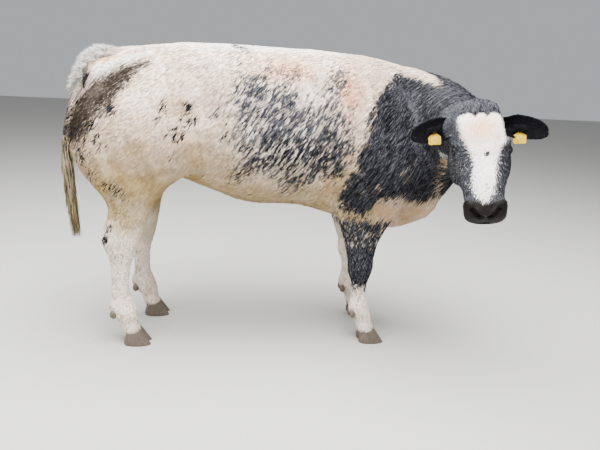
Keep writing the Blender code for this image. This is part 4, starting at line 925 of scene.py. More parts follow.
# The lie of the coat: back and down on the body, down the legs, and away from the whorl on the face
def lieAt(points, normals):
    share = faceShare(points)[:, None]
    low = (1 - ease(points[:, 2], 0.45, 0.75))[:, None]
    body = np.array((-0.62, 0.0, -0.78)) * (1 - low) + np.array((-0.10, 0.0, -1.0)) * low
    places = headPlaces(points)
    whorl = np.array((0.236, 0.018, 0.0))
    fromWhorl = unitOf(places * (1, 1, 0.25) - whorl * (1, 1, 0.25))
    onSide = ease(-places[:, 2], 0.04, 0.09)[:, None]
    face = (fromWhorl * (1 - onSide) + np.array((-0.25, 0.0, -1.0)) * onSide) @ headFrame
    way = body * (1 - share) + face * share
    for side in (-1, 1):
        away = points - eyeCentre(side)
        near = (1 - ease(np.linalg.norm(away, axis=1), 0.024, 0.052))[:, None]
        way = way * (1 - near) + unitOf(away - normals * (away * normals).sum(1)[:, None]) * near
    way = way - normals * (way * normals).sum(1)[:, None]
    return unitOf(way)


# Colours and materials

def toLinear(text):
    channels = [int(text[k:k + 2], 16) / 255 for k in (1, 3, 5)]
    return tuple(c / 12.92 if c <= 0.04045 else ((c + 0.055) / 1.055) ** 2.4 for c in channels) + (1.0,)


# Gives a node's sockets their values or links, by socket name or number
def feed(node, inputs):
    for key, value in inputs.items():
        if isinstance(value, bpy.types.NodeSocket):
            node.id_data.links.new(value, node.inputs[key])
        else:
            node.inputs[key].default_value = value


# One node with its settings and links, given back as its first output or the one asked for
def addNode(tree, kind, settings, inputs, output=0):
    node = tree.nodes.new("ShaderNode" + kind)
    for name, value in settings.items():
        setattr(node, name, value)
    feed(node, inputs)
    return node.outputs[output]


def newMaterial(name):
    material = bpy.data.materials.new(name)
    material.use_nodes = True
    return material, material.node_tree, material.node_tree.nodes["Principled BSDF"]


# A colour mix has its factor at socket 0 and its colours at 6 and 7, with the result at 2, and a number
# mix has 0, 2 and 3. A range has its value at 0, its own limits at 1 and 2 and the result's at 3 and 4, 0
# and 1 where not given
colourMix, numberMix = {"data_type": "RGBA"}, {"data_type": "FLOAT"}
add, subtract, multiply, multiplyAdd = (
    {"operation": name} for name in ("ADD", "SUBTRACT", "MULTIPLY", "MULTIPLY_ADD")
)
textureSpace = {"vector_type": "TEXTURE"}

# How the combed noises are turned: back and down on her sides, level along the back, and along the face
sideLie = (0.0, math.radians(28.0), 0.0)
backLie = (0.0, math.radians(90.0), 0.0)
faceLie = tuple(Matrix(headFrame[[1, 2, 0]]).transposed().to_euler())

coatLook = {
    "colours": {
        "cream": "#efe0d4",
        "pure": "#f6f3ee",
        "beigeAndShade": "#a69468",
        "shadow": "#a8907e",
        "skinPink": "#d68a4e",
        "black": "#101117",
        "slateAndSheen": "#707178",
        "mudAndShade": "#1f1a14",
        "muzzle": "#060608",
        "muzzleSheen": "#1a1715",
        "udder": "#d3a48e",
    },
    # combed noises: turn, width, length, detail. A fleck of roan is 10 mm by 33 mm, and 3 mm by 8 mm on
    # the face. One hair is 0.05 mm wide, too fine to show, so a strand is drawn 2 mm wide on the body and
    # 1.3 mm on the face
    "combed": {
        "sideFleck": (sideLie, 0.0105, 0.033, 3.0),
        "faceFleck": (faceLie, 0.0032, 0.0085, 3.0),
        "sideStrand": (sideLie, 0.0022, 0.026, 2.0),
        "backStrand": (backLie, 0.0022, 0.026, 2.0),
        "faceStrand": (faceLie, 0.0013, 0.010, 2.0),
    },
    "cloud": 0.12,          # patches of creamier hair
    "padGrain": 0.0032,     # pebbles of the muzzle's skin
    "relief": 0.0022,       # height of the combed hair on the skin
}


# Short cattle hair, combed flat: creamy white over pink skin, roan with blue-black, soiled where she lies
# down, with painted shade low on the body, along the belly and between strands, painted sheen in the black and
# on the muzzle's pad, and a painted highlight along the top. It gives the eye a soft broken sheen, never a hard
# highlight, and a moist gleam on the bare muzzle
def makeCoatMaterial(name, strands):
    material, tree, shader = newMaterial(name)
    paint = {word: toLinear(text) for word, text in coatLook["colours"].items()}
    place = addNode(tree, "Attribute", {"attribute_name": "place"}, {}, "Vector")
    shade = addNode(tree, "Attribute", {"attribute_name": "shade"}, {}, "Fac")
    shares = []
    for word in ("marks", "parts", "tones"):
        field = addNode(tree, "Attribute", {"attribute_name": word}, {}, "Vector")
        shares.append(addNode(tree, "SeparateXYZ", {}, {"Vector": field}).node.outputs)
    (dark, dirt, pink), (bare, top, face), (beigeAndShade, greyAndSheen, whiteAndHighlight) = shares
    noise = {}
    for word, (turn, width, length, detail) in coatLook["combed"].items():
        sizes = {"Vector": place, "Rotation": turn, "Scale": (width * 5, width * 5, length * 5)}
        turned = addNode(tree, "Mapping", textureSpace, sizes)
        grain = {"Vector": turned, "Scale": 5.0, "Detail": detail, "Roughness": 0.55}
        noise[word] = addNode(tree, "TexNoise", {}, grain)
    cloud = addNode(tree, "TexNoise", {}, {"Vector": place, "Scale": 1 / coatLook["cloud"], "Detail": 3.0})
    fleck = addNode(tree, "Mix", numberMix, {0: face, 2: noise["sideFleck"], 3: noise["faceFleck"]})
    combed = addNode(tree, "Mix", numberMix, {0: top, 2: noise["sideStrand"], 3: noise["backStrand"]})
    combed = addNode(tree, "Mix", numberMix, {0: face, 2: combed, 3: noise["faceStrand"]})
    # white hair: beige in clouds and where its share is high, with painted shade low on the body, painted shade
    # between strands, pinker where skin shows through, purer on white places and as a painted highlight, and
    # hidden by mud but for clean tips: 1.5 dirt - 1.15 tips, the mud also painting shade along the belly
    clouds = addNode(tree, "MapRange", {}, {0: cloud, 1: 0.40, 2: 0.68, 3: -0.10, 4: 0.30})
    beigerAndShaded = addNode(tree, "Math", {"operation": "ADD", "use_clamp": True}, {0: beigeAndShade, 1: clouds})
    between = addNode(tree, "MapRange", {}, {0: combed, 1: 0.32, 2: 0.60, 3: 0.32, 4: 0.0})
    pinker, whiterAndHighlit = (addNode(tree, "Math", multiply, {0: share, 1: 0.85}) for share in (pink, whiteAndHighlight))
    tips = addNode(tree, "Mix", numberMix, {0: 0.4, 2: combed, 3: noise["sideFleck"]})
    tips = addNode(tree, "MapRange", {}, {0: tips, 1: 0.36, 2: 0.64, 3: 0.0, 4: -1.15})
    muddyAndShaded = addNode(tree, "Math", multiplyAdd, {0: dirt, 1: 1.50, 2: tips})
    muddyAndShaded = addNode(tree, "MapRange", {}, {0: muddyAndShaded, 1: -0.10, 2: 0.55, 4: 0.96})
    white = paint["cream"]
    layers = (beigerAndShaded, "beigeAndShade"), (between, "shadow"), (pinker, "skinPink"), (whiterAndHighlit, "pure"), (muddyAndShaded, "mudAndShade")
    for factor, word in layers:
        white = addNode(tree, "Mix", colourMix, {0: factor, 6: white, 7: paint[word]}, 2)
    # dark hair has grey strands in it, partly a painted sheen on the black, and stands where the fleck noise,
    # ruffled by the strands, passes a threshold that falls as its share grows: fleck + 0.4 combed - (1 - 0.6
    # dark)
    greyerAndSheen = addNode(tree, "Math", multiplyAdd, {0: greyAndSheen, 1: 0.26, 2: combed})
    greyerAndSheen = addNode(tree, "MapRange", {}, {0: greyerAndSheen, 1: 0.56, 2: 0.84, 4: 0.75})
    black = addNode(tree, "Mix", colourMix, {0: greyerAndSheen, 6: paint["black"], 7: paint["slateAndSheen"]}, 2)
    ruffled = addNode(tree, "Math", multiplyAdd, {0: combed, 1: 0.40, 2: fleck})
    threshold = addNode(tree, "MapRange", {}, {0: dark, 3: 1.0, 4: 0.4})
    passed = addNode(tree, "Math", subtract, {0: ruffled, 1: threshold})
    passed = addNode(tree, "MapRange", {}, {0: passed, 1: -0.07, 2: 0.045, 4: 0.995})
    hair = addNode(tree, "Mix", colourMix, {0: passed, 6: white, 7: black}, 2)
    # the muzzle's moist black skin has a painted sheen on its pad, and the udder's is pink
    padSheen = addNode(tree, "MapRange", {}, {0: cloud, 1: 0.40, 2: 0.60, 3: 0.45, 4: 0.95})
    padSheen = addNode(tree, "Math", multiply, {0: padSheen, 1: whiteAndHighlight})
    muzzle = addNode(tree, "Mix", colourMix, {0: padSheen, 6: paint["muzzle"], 7: paint["muzzleSheen"]}, 2)
    onFace = addNode(tree, "MapRange", {}, {0: face, 1: 0.4, 2: 0.6})
    bareColour = addNode(tree, "Mix", colourMix, {0: onFace, 6: paint["udder"], 7: muzzle}, 2)
    colour = addNode(tree, "Mix", colourMix, {0: bare, 6: hair, 7: bareColour}, 2)
    value = addNode(tree, "MapRange", {}, {0: shade, 1: -1.0, 2: 1.0, 3: 0.84, 4: 1.12})
    feed(shader, {
        "Base Color": addNode(tree, "HueSaturation", {}, {"Value": value, "Color": colour}),
        "Roughness": addNode(tree, "MapRange", {}, {0: bare, 3: 0.72, 4: 0.46}),
        "Specular IOR Level": addNode(tree, "MapRange", {}, {0: bare, 3: 0.02, 4: 0.09}),
    })
    if strands:
        grain = addNode(tree, "TexVoronoi", {}, {"Vector": place, "Scale": 1 / coatLook["padGrain"]})
        grain = addNode(tree, "Math", multiply, {0: grain, 1: 0.45})
        height = addNode(tree, "Mix", numberMix, {0: bare, 2: combed, 3: grain})
        relief = {"Strength": 0.60, "Distance": coatLook["relief"], "Height": height}
        feed(shader, {"Normal": addNode(tree, "Bump", {}, relief)})
    return material


# Fields that the materials read, with one value or vector for each root: it goes to every point grown
# from that root
def storeFields(obj, each, fields):
    for name, values in fields.items():
        values = np.repeat(values, each, axis=0)
        kind, word = ("FLOAT", "value") if values.ndim == 1 else ("FLOAT_VECTOR", "vector")
        layer = obj.data.attributes.new(name, kind, "POINT")
        layer.data.foreach_set(word, np.ascontiguousarray(values, np.float32).ravel())


# Every finished piece: moved to the part's own place, smooth, with one material, riding on the body
def finishPiece(obj, material, slot, *nodes):
    writePoints(obj, readPoints(obj)[0] - boxMiddle)
    obj.data.shade_smooth()
    obj.data.materials.clear()
    obj.data.materials.append(material)
    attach(obj, "root")
    if nodes:
        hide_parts(*nodes)


# The coat: thin three-sided tufts, rooted in the skin and bent to lie along it. A tuft stands for many
# hairs and is as wide as it needs to be to show

coat = {
    "count": 102000,
    "quickCount": 26000,
    "piece": 19500,          # tufts in one piece
    "half": 0.0014,          # half width on the body
    "quickHalf": 0.0024,
    "length": 0.026,
    "frontMore": 0.012,      # longer on the chest and neck
    "lowLess": 0.010,        # shorter on the legs
    "headLength": 0.0125,
    "patch": 0.003,          # a tuft's own place on the bake map
}
tuftCorners = ((-0.5, -0.5), (0.0, -0.5), (0.5, -0.5), (-0.5, 0.1), (0.0, 0.1), (0.5, 0.1), (0.0, 0.5))
tuftPattern = np.array((
    (0, 3, 4), (0, 4, 1), (1, 4, 5), (1, 5, 2), (2, 5, 3), (2, 3, 0),
    (3, 6, 4), (4, 6, 5), (5, 6, 3), (0, 1, 2),
))


# For each tuft a bent spike of two three-cornered sections and a point: the root section under the skin,
# the second at half length lifted to the crest of the bend, the point at full length sunk back towards
# the skin
def tuftArrays(root, normal, way, length, half, lift, sink):
    side = np.cross(normal, way)
    length, half, lift, sink = (v[:, None] for v in (length, half, lift, sink))
    base = root - normal * 0.0012
    middle = root + way * length * 0.5 + normal * length * lift * 0.5
    tip = root + way * length + normal * length * (lift - sink)
    corners = [
        base + side * half * 0.8, base + normal * half * 0.9, base - side * half * 0.8,
        middle + side * half, middle + normal * half * 0.8, middle - side * half,
        tip,
    ]
    faces = tuftPattern[None] + (np.arange(len(root)) * len(corners))[:, None, None]
    return np.stack(corners, 1).reshape(-1, 3), faces.reshape(-1, 3)


# Roots spread evenly over the skin's triangles by area times a weight
def scatterOn(obj, weightOf, count):
    data = obj.data
    data.calc_loop_triangles()
    triangles = np.empty(len(data.loop_triangles) * 3, np.int32)
    data.loop_triangles.foreach_get("vertices", triangles)
    triangles = triangles.reshape(-1, 3)
    points, normals = readPoints(obj)
    corner = points[triangles]
    area = np.linalg.norm(np.cross(corner[:, 1] - corner[:, 0], corner[:, 2] - corner[:, 0]), axis=1) / 2
    total = np.cumsum(area * weightOf(corner.mean(1)))
    pick = np.searchsorted(total, (np.arange(count) + rng.random(count)) / count * total[-1])
    pick = np.minimum(pick, len(triangles) - 1)
    a, b = rng.random(count), rng.random(count)
    flip = a + b > 1
    a, b = np.where(flip, 1 - a, a), np.where(flip, 1 - b, b)
    share = np.stack([1 - a - b, a, b], 1)
    chosen = triangles[pick]
    root = (points[chosen] * share[..., None]).sum(1)
    normal = unitOf((normals[chosen] * share[..., None]).sum(1))
    return root, normal


# More tufts where they are small, none on bare skin or inside the feet
def tuftWeight(points):
    share = headShare(points)
    low = 1 - ease(points[:, 2], 0.45, 0.75)
    inside = 1 - ease(points[:, 2], 0.055, 0.062)
    return (1 + 1.6 * share + 0.9 * low) * (1 - bareShare(points)) * (1 - inside) + 1e-9


# Each point's place on an unwrap of the body as tubes: round the trunk and neck, each leg and the head
def unwrapAt(points):
    x, y, z = points.T
    places = headPlaces(points)
    share = headShare(points) > 0.5
    leg = (z < 0.72) & ~share
    hind = x < 0
    centreX = np.where(leg, np.where(hind, -0.66, 0.42), 0)
    centreY = np.where(leg, np.sign(y) * 0.18, -0.15 * ease(x, 0.5, 0.8))
    angle = np.where(leg, np.arctan2(y - centreY, x - centreX), np.arctan2(y - centreY, z - 1.0))
    angle = np.where(share, np.arctan2(places[:, 1], places[:, 2] + 0.10), angle)
    turn = angle / (2 * np.pi) + 0.5
    u = turn * 0.98 + 0.01
    v = 0.36 + 0.60 * np.clip((x + 0.95) / 1.9, 0, 1)
    legSlot = (hind * 2 + (y > 0)) * 0.25
    u = np.where(leg, legSlot + 0.005 + turn * 0.24, u)
    v = np.where(leg, 0.01 + 0.15 * z / 0.72, v)
    u = np.where(share, 0.01 + turn * 0.98, u)
    v = np.where(share, 0.18 + 0.16 * np.clip((places[:, 0] + 0.1) / 0.6, 0, 1), v)
    return np.stack([u, v], 1)


# Every tuft's patch of the bake map, at its root's place
def storePatches(obj, roots, pattern, corners):
    layer = obj.data.uv_layers.new(name="OFBake")
    offsets = np.asarray(corners, float) * coat["patch"]
    loops = (unwrapAt(roots)[:, None] + offsets[pattern.ravel()][None]).reshape(-1, 2)
    layer.data.foreach_set("uv", loops.astype(np.float32).ravel())


def makeCoat(skin, material):
    count = coat["count"]
    root, normal = scatterOn(skin, tuftWeight, count)
    way = lieAt(root, normal)
    side = np.cross(normal, way)
    way = unitOf(way + side * rng.normal(0, 0.16, count)[:, None])
    x, _, z = root.T
    share = headShare(root)
    low = 1 - ease(z, 0.45, 0.75)
    front = ease(x, 0.25, 0.45) * (1 - share) * ease(z, 0.62, 0.75)
    length = coat["length"] + coat["frontMore"] * front - coat["lowLess"] * low
    length = (length * (1 - share) + coat["headLength"] * share) * (1 - 0.5 * eyeShares(root)[1])
    length = length * rng.uniform(0.75, 1.25, count)
    wide = coat["half"]
    half = (wide * (1 - share) + wide * 0.55 * share) * rng.uniform(0.75, 1.2, count)
    lift = rng.uniform(0.10, 0.20, count) + 0.06 * front
    sink = lift * rng.uniform(0.35, 0.80, count)
    fields = {"place": root, "marks": marksAt(root), "parts": partsAt(root, normal), "tones": tonesAt(root)}
    fields["tones"][:, 1] += rng.normal(0, 0.24, count)
    fields["shade"] = np.clip(rng.normal(0, 0.55, count), -1, 1)
    for k, chunk in enumerate(np.array_split(np.lexsort((x,)), math.ceil(count / coat["piece"]))):
        shapes = (values[chunk] for values in (root, normal, way, length, half, lift, sink))
        piece = meshFrom(f"coat_{k + 1}", *tuftArrays(*shapes))
        storePatches(piece, root[chunk], tuftPattern, tuftCorners)
        storeFields(piece, len(tuftCorners), {name: values[chunk] for name, values in fields.items()})
        finishPiece(piece, material, "pale_coat")


# Long hair: three-sided strands of several sections

# A strand leaves its root along way and turns towards bend: place = root + length (way u + bend u^2), for
# u from 0 to 1, its half width shrinking to a point; rows is how many sections it has before the point
def strandArrays(root, way, bend, length, half, rows):
    u = (np.arange(rows) / rows)[None, :, None]
    way, bend = way[:, None], bend[:, None]
    length, half = length[:, None, None], half[:, None, None]
    middle = root[:, None] + length * (way * u + bend * u**2)
    ahead = unitOf(way + 2 * bend * u + 1e-6)
    side = np.cross(ahead, way + 0.37 * bend + np.array((0.013, 0.021, 0.017)))
    side = unitOf(side + 1e-7)
    over = np.cross(side, ahead)
    wide = half * (1 - 0.75 * u**2)
    left = middle + side * wide
    right = middle - side * wide
    ridge = middle + over * wide * 0.5
    tip = root + length[:, 0] * (way[:, 0] + bend[:, 0])
    sections = np.stack([left, ridge, right], 2).reshape(len(root), rows * 3, 3)
    points = np.concatenate([sections, tip[:, None]], 1)
    cells = []
    for k in range(rows - 1):
        for a, b in ((0, 1), (1, 2), (2, 0)):
            cells += [(3 * k + a, 3 * k + 3 + a, 3 * k + 3 + b), (3 * k + a, 3 * k + 3 + b, 3 * k + b)]
    last, point = 3 * (rows - 1), 3 * rows
    cells += [(last, point, last + 1), (last + 1, point, last + 2), (last + 2, point, last), (0, 1, 2)]
    pattern = np.array(cells)
    across = np.tile((-0.5, 0.0, 0.5), rows)
    upward = np.repeat(np.arange(rows) / rows - 0.5, 3)
    corners = np.vstack([np.stack([across, upward], 1), (0.0, 0.5)])
    faces = pattern[None] + (np.arange(len(root)) * (3 * rows + 1))[:, None, None]
    return points.reshape(-1, 3), faces.reshape(-1, 3), pattern, corners


# One piece of long hair with its own marks: dark, dirt and pink for each strand
def makeStrands(name, root, way, bend, length, half, marks, rows, face=0.0, greyAndSheen=0.3, vary=0.45,
                beigeAndShade=0.1, whiteAndHighlight=0.0):
    points, faces, pattern, corners = strandArrays(root, way, bend, length, half, rows)
    piece = meshFrom(name, points, faces)
    storePatches(piece, root, pattern, corners)
    storeFields(piece, len(corners), {
        "place": root,
        "marks": marks,
        "parts": np.tile((0.0, 0.0, face), (len(root), 1)),
        "tones": np.stack([beigeAndShade + 0 * length, greyAndSheen + 0 * length, whiteAndHighlight + 0 * length], 1),
        "shade": np.clip(rng.normal(0, vary, len(root)), -1, 1),
    })
    return piece


longHair = {
    "neck": (5200, 2600, (0.030, 0.062), 0.0007, 0.10, 0.85),
    "tailHead": (2600, 2200, (0.022, 0.050), 0.0013, 0.80, 0.05),
    "dock": (1500, 1000, (0.010, 0.020), 0.0008, 0.22, 0.85),
    "feet": (2600, 1600, (0.016, 0.032), 0.0008, 0.22, 0.85),
}


# Where each kind grows: the dark neck and shoulder, the root of the tail, its dock, and the coronets and
# fetlocks
def longHairWeight(kind, points):
    x, y, z = points.T
    if kind == "neck":
        dark = ease(marksAt(points)[:, 0], 0.35, 0.7)
        behindPoll = 1 - ease(headPlaces(points)[:, 0], -0.05, -0.01)
        return ease(x, 0.36, 0.60) * ease(z, 0.72, 0.86) * dark * behindPoll + 1e-9
    if kind == "tailHead":
        gap = lineGap(points, ((-0.755, -0.03, 1.315), (-0.815, -0.01, 1.270), (-0.848, -0.02, 1.195)))
        return (1 - ease(gap, 0.030, 0.065)) ** 2 + 1e-9
    if kind == "dock":
        gap = lineGap(points, [row[:3] for row in tail["rows"][2:7]])
        return 1 - ease(gap, 0.034, 0.044) + 1e-9
    coronet = 1 - ease(np.abs(z - 0.078), 0.010, 0.022)
    heel = np.where(x < 0, x + 0.700, x - 0.405) - 0.04 * (y > 0)
    fetlock = (1 - ease(heel, 0.0, 0.02)) * (1 - ease(np.abs(z - 0.165), 0.02, 0.05))
    return coronet + 0.8 * fetlock + 1e-9


def makeLongHair(skin, material):
    for kind, (full, quick, lengths, halfWidth, lift, fall) in longHair.items():
        count = full
        isTail = kind == "tailHead"
        root, normal = scatterOn(skin, lambda points: longHairWeight(kind, points), count)
        way = lieAt(root, normal)
        if isTail:
            # clumps 13 mm across, each leaning its own way: the sine of its cell's number
            mixing = np.array(((12.9, 4.1, 7.7), (78.2, 37.7, 9.2), (37.1, 17.9, 55.3)))
            clump = np.sin(np.floor(root / 0.013) @ mixing)
            way = way * 0.5 + np.array((-0.45, -0.10, 0.25)) + clump * 0.40
            way = unitOf(way + rng.normal(0, 0.08, (count, 3)))
        way = unitOf(way + normal * lift + rng.normal(0, 0.10, (count, 3)))
        bend = -normal * lift * fall + np.array((0.0, 0.0, -0.12))
        length = rng.uniform(*lengths, count)
        half = halfWidth * rng.uniform(0.7, 1.2, count)
        marks, tones = marksAt(root), tonesAt(root)
        if isTail:
            marks = np.stack([np.clip(rng.normal(0.14, 0.14, count), 0, 1), 0 * length, 0 * length], 1)
        piece = makeStrands(f"{kind}_hair", root - normal * 0.001, way, bend, length, half, marks, 3,
                            greyAndSheen=tones[:, 1] + rng.normal(0, 0.6, count), vary=0.6, whiteAndHighlight=0.9 * isTail)
        finishPiece(piece, material, "pale_coat")


# The switch: hair hung round the end of the tail, closing to a ragged point
switch = {
    "count": 1500,
    "top": 0.93,             # heights between which the hair roots
    "rootEnd": 0.62,
    "bulge": 0.022,
    "length": (0.10, 0.20),
    "half": (0.0016, 0.0028),
}


def makeSwitch(material):
    count = switch["count"]
    core = smoothRows(tail["rows"], 120)
    part = rng.random(count) ** 0.8
    start = switch["top"] - (switch["top"] - switch["rootEnd"]) * part
    row = core[np.argmin(np.abs(core[:, 2][None, :] - start[:, None]), axis=1)]
    turn = rng.random(count) * 2 * np.pi
    out = np.stack([np.cos(turn), np.sin(turn), 0 * turn], 1)
    root = row[:, :3] + out * row[:, 3:4] * 0.8
    length = np.minimum(rng.uniform(*switch["length"], count), start - tail["switchTip"] - 0.012)
    push = (switch["bulge"] / length * 1.2 * rng.uniform(0.3, 1.0, count))[:, None]
    way = out * push + np.array((0.05, -0.012, -0.95))
    sway = np.stack([rng.normal(0, 0.05, count), rng.normal(0, 0.05, count), 0 * turn - 0.05], 1)
    bend = -out * push * 0.92 + sway
    dark = np.clip(rng.normal(0.16, 0.16, count), 0, 1)
    marks = np.stack([dark, np.clip(rng.normal(0.42, 0.2, count), 0, 1), 0 * dark], 1)
    half = rng.uniform(*switch["half"], count)
    piece = makeStrands("tail_switch_hair", root, way, bend, length, half, marks, 5, beigeAndShade=0.9)
    finishPiece(piece, material, "tail_hair", "tail_switch")


# The forelock: streaked dark grey, combed forward over the brow, its points on the forehead
forelock = {
    "count": 3600,
    "side": 0.075,           # how far it reaches to each side of the poll
    "depth": (-0.050, 0.022),
    "length": (0.024, 0.042),
    "half": (0.0005, 0.0009),
}


def makeForelock(material):
    count = forelock["count"]
    t = rng.uniform(-forelock["side"], forelock["side"], count)
    outer = (t / forelock["side"]) ** 2
    s = rng.uniform(*forelock["depth"], count) * (1 - 0.3 * outer)
    local = np.stack([s, t, -0.020 * outer - 0.020 * ease(-s, 0.0, 0.04)], 1)
    root = head["poll"] + local @ headFrame
    way = np.stack([0.72 + 0 * s, t * 3.2, 0.74 - 4 * s], 1)
    bend = np.stack([0.15 + 0 * s, -t * 1.4, -0.62 + 3.0 * s], 1)
    way = unitOf(way + rng.normal(0, 0.10, (count, 3))) @ headFrame
    bend = (bend + rng.normal(0, 0.05, (count, 3))) @ headFrame
    pointed = np.exp(-(((t + 0.020) / 0.007) ** 2)) + np.exp(-(((t - 0.025) / 0.006) ** 2))
    length = rng.uniform(*forelock["length"], count) * (1 - 0.25 * outer + 0.55 * pointed)
    marks = np.stack([0.97 + 0 * s, 0 * s, 0 * s], 1)
    half = rng.uniform(*forelock["half"], count)
    piece = makeStrands("forelock", root, way, bend, length, half, marks, 4, face=1.0,
                        greyAndSheen=rng.normal(0.70, 0.95, count), vary=0.6)
    finishPiece(piece, material, "black_coat")


# The ears: a cupped leaf, rolled towards its root, with a fringe round the rim and hair in the cup

ears = {
    "root": (0.063, 0.094, -0.068),
    "aim": {-1: (0.01, -1.0, 0.01), 1: (0.11, 1.0, 0.13)},
    "length": 0.172,
    "width": 0.101,
    "thick": 0.0050,
    "cup": 0.030,
    "droop": 0.026,
    # hair: how many, how far its roots lie behind the middle of the leaf, and its length
    "hair": {
        "back": (2600, 0.004, (0.007, 0.011)),
        "rim": (1500, 0.0, (0.004, 0.008)),
        "cup": (2400, -0.004, (0.008, 0.014)),
        "over": (420, -0.003, (0.018, 0.034)),
    },
    "hairHalf": 0.0008,
}


# A place on an ear, u from root to tip, v from the lower edge to the upper, lift out of the back: across
# it half width sin(bend), behind it cup (cos(bend) - 0.45), bend being v times a roll that opens towards
# the tip
def earPoint(side, u, v, lift):
    root = onHead(ears["root"][0], side * ears["root"][1], ears["root"][2])
    aim = headVector(*ears["aim"][side])
    back = headVector(-0.45, side * 0.10, -0.89)
    back = unitOf(back - aim * (back @ aim))
    up = np.cross(aim, back)
    up = up * np.sign(up[2])
    leaf = (0.72 + 0.28 * ease(u, 0.0, 0.32)) * (1 - 0.14 * u) * np.sqrt(np.clip(1 - u**4.6, 0.0, 1))
    half = ears["width"] / 2 * leaf
    bend = v * (1.45 - 0.75 * u)
    wide = np.sin(bend) / np.sin(np.maximum(1.45 - 0.75 * u, 0.3))
    deep = ears["cup"] * (1 - 0.55 * u) * (np.cos(bend) - 0.45)
    outwards = root + np.multiply.outer(ears["length"] * u, aim) + np.multiply.outer(half * wide, up)
    hanging = np.multiply.outer(ears["droop"] * u**2, np.array([0, 0, 1.0]))
    return outwards + np.multiply.outer(deep + lift, back) - hanging


# Two sheets on the leaf's grid, half a thickness to each side of it, thinning to the rim and joined all round
def makeEar(side, word, skinLook, hairLook):
    rows, columns = 46, 30
    u = np.linspace(0, 0.997, rows)[:, None] * np.ones((1, columns))
    v = np.ones((rows, 1)) * np.linspace(-1, 1, columns)[None, :]
    edge = np.sqrt(np.clip(1 - np.abs(v) ** 3, 0, 1)) * np.sqrt(np.clip(1 - u**8, 0.02, 1))
    thick = ears["thick"] * (0.20 + 0.80 * edge) * (1.7 - 0.9 * u)
    rib = 0.0010 * np.sin(v * 9.0) * edge * (1 - u)
    front = earPoint(side, u, v, -thick / 2 + rib)
    rear = earPoint(side, u, v, thick / 2 + rib)
    points = np.concatenate([front.reshape(-1, 3), rear.reshape(-1, 3)])
    index = np.arange(rows * columns).reshape(rows, columns)
    a, b, c, d = index[:-1, :-1], index[:-1, 1:], index[1:, 1:], index[1:, :-1]
    sheet = np.concatenate([np.stack(corners, -1).reshape(-1, 3) for corners in ((a, b, c), (a, c, d))])
    rim = np.concatenate([index[:, 0], index[-1, 1:], index[-2::-1, -1], index[0, -2:0:-1]])
    turned = np.roll(rim, -1)
    far = rows * columns
    wall = np.concatenate([np.stack(corners, -1) for corners in ((rim, turned, turned + far),
                                                                 (rim, turned + far, rim + far))])
    faces = np.concatenate([sheet, sheet[:, ::-1] + far, wall[:, ::-1]])
    leaf = meshFrom(f"ear_leaf_{word}", points, facingOut(points, faces))
    inner = np.repeat((1.0, 0.0), far)
    storeFields(leaf, 1, {
        "place": points,
        "marks": earMarks(side, np.tile(u.ravel(), 2), inner),
        "parts": np.tile((0.0, 1.0, 0.0), (len(points), 1)),
        "tones": np.tile((0.1, -0.8, 0.0), (len(points), 1)),
        "shade": np.zeros(len(points)),
    })
    finishPiece(leaf, skinLook, "black_coat", f"ear_{word}")
    makeEarHair(side, word, hairLook)


# An ear's dark, dirt and pink: black, paler at the root of its back, with pink skin under the cup's hair
def earMarks(side, u, inner):
    pale = (1 - ease(u, 0.02, 0.10)) * (0.40 if side > 0 else 0.05) * (1 - inner)
    return np.stack([1.0 - pale, 0 * u, 0.25 * inner + 0 * u], 1)


# Four kinds of hair: short on the back along the ear, a fringe off the rim, hair in the cup, and hair
# that falls over the neck of the tag
def makeEarHair(side, word, hairLook):
    aim = headVector(*ears["aim"][side])
    roots, ways, bends, lengths, halves, marks = [], [], [], [], [], []
    for kind, (count, lift, reach) in ears["hair"].items():
        u = rng.uniform(0.0, 0.97, count)
        v = rng.uniform(-0.96, 0.96, count)
        if kind == "rim":
            v = np.sign(v) * rng.uniform(0.93, 0.99, count)
            tipHair = rng.random(count) < 0.22
            u = np.where(tipHair, rng.uniform(0.93, 0.99, count), u)
            v = np.where(tipHair, rng.uniform(-0.9, 0.9, count), v)
        if kind == "cup":
            u = rng.uniform(0.02, 0.94, count)
            v = rng.uniform(-0.95, 0.95, count)
            behindTag = (np.abs(u - tags["place"][side][0]) < 0.16) & (v < 0.15)
            u = np.where(behindTag, rng.uniform(0.70, 0.94, count), u)
        if kind == "over":
            u = tags["place"][side][0] + rng.uniform(-0.15, 0.15, count)
            v = tags["place"][side][1] + rng.uniform(0.12, 0.50, count)
        root = earPoint(side, u, v, np.full(count, lift))
        across = unitOf(earPoint(side, u, v + 0.02, 0 * u) - earPoint(side, u, v - 0.02, 0 * u))
        outward = unitOf(earPoint(side, u, v, 0 * u + 0.01) - earPoint(side, u, v, 0 * u))
        if kind == "back":
            way = aim + outward * 0.14
            bend = -outward * 0.12
        elif kind == "rim":
            way = aim + across * np.sign(v)[:, None] * rng.uniform(0.2, 0.6, count)[:, None]
            bend = aim * 0.35 - outward * 0.2
        elif kind == "over":
            way = -outward * 1.10 - across * 0.25
            bend = outward * 0.45 - across * 0.75
        else:
            way = aim * 0.9 - outward * 0.20 + across * np.sign(v)[:, None] * 0.10
            bend = aim * 0.2 + outward * 0.14
        length = rng.uniform(*reach, count) * np.where(kind == "cup", 1.2 - 0.5 * u, 1.0)
        roots.append(root)
        ways.append(unitOf(way + rng.normal(0, 0.10, (count, 3))))
        bends.append(bend + 0 * root)
        lengths.append(length)
        halves.append(ears["hairHalf"] * rng.uniform(0.7, 1.2, count))
        marks.append(earMarks(side, u, np.full(count, 1.0 if kind in ("cup", "over") else 0.0)))
    shapes = (np.concatenate(values) for values in (roots, ways, bends, lengths, halves, marks))
    piece = makeStrands(f"ear_hair_{word}", *shapes, 2, greyAndSheen=-0.5)
    finishPiece(piece, hairLook, "black_coat")


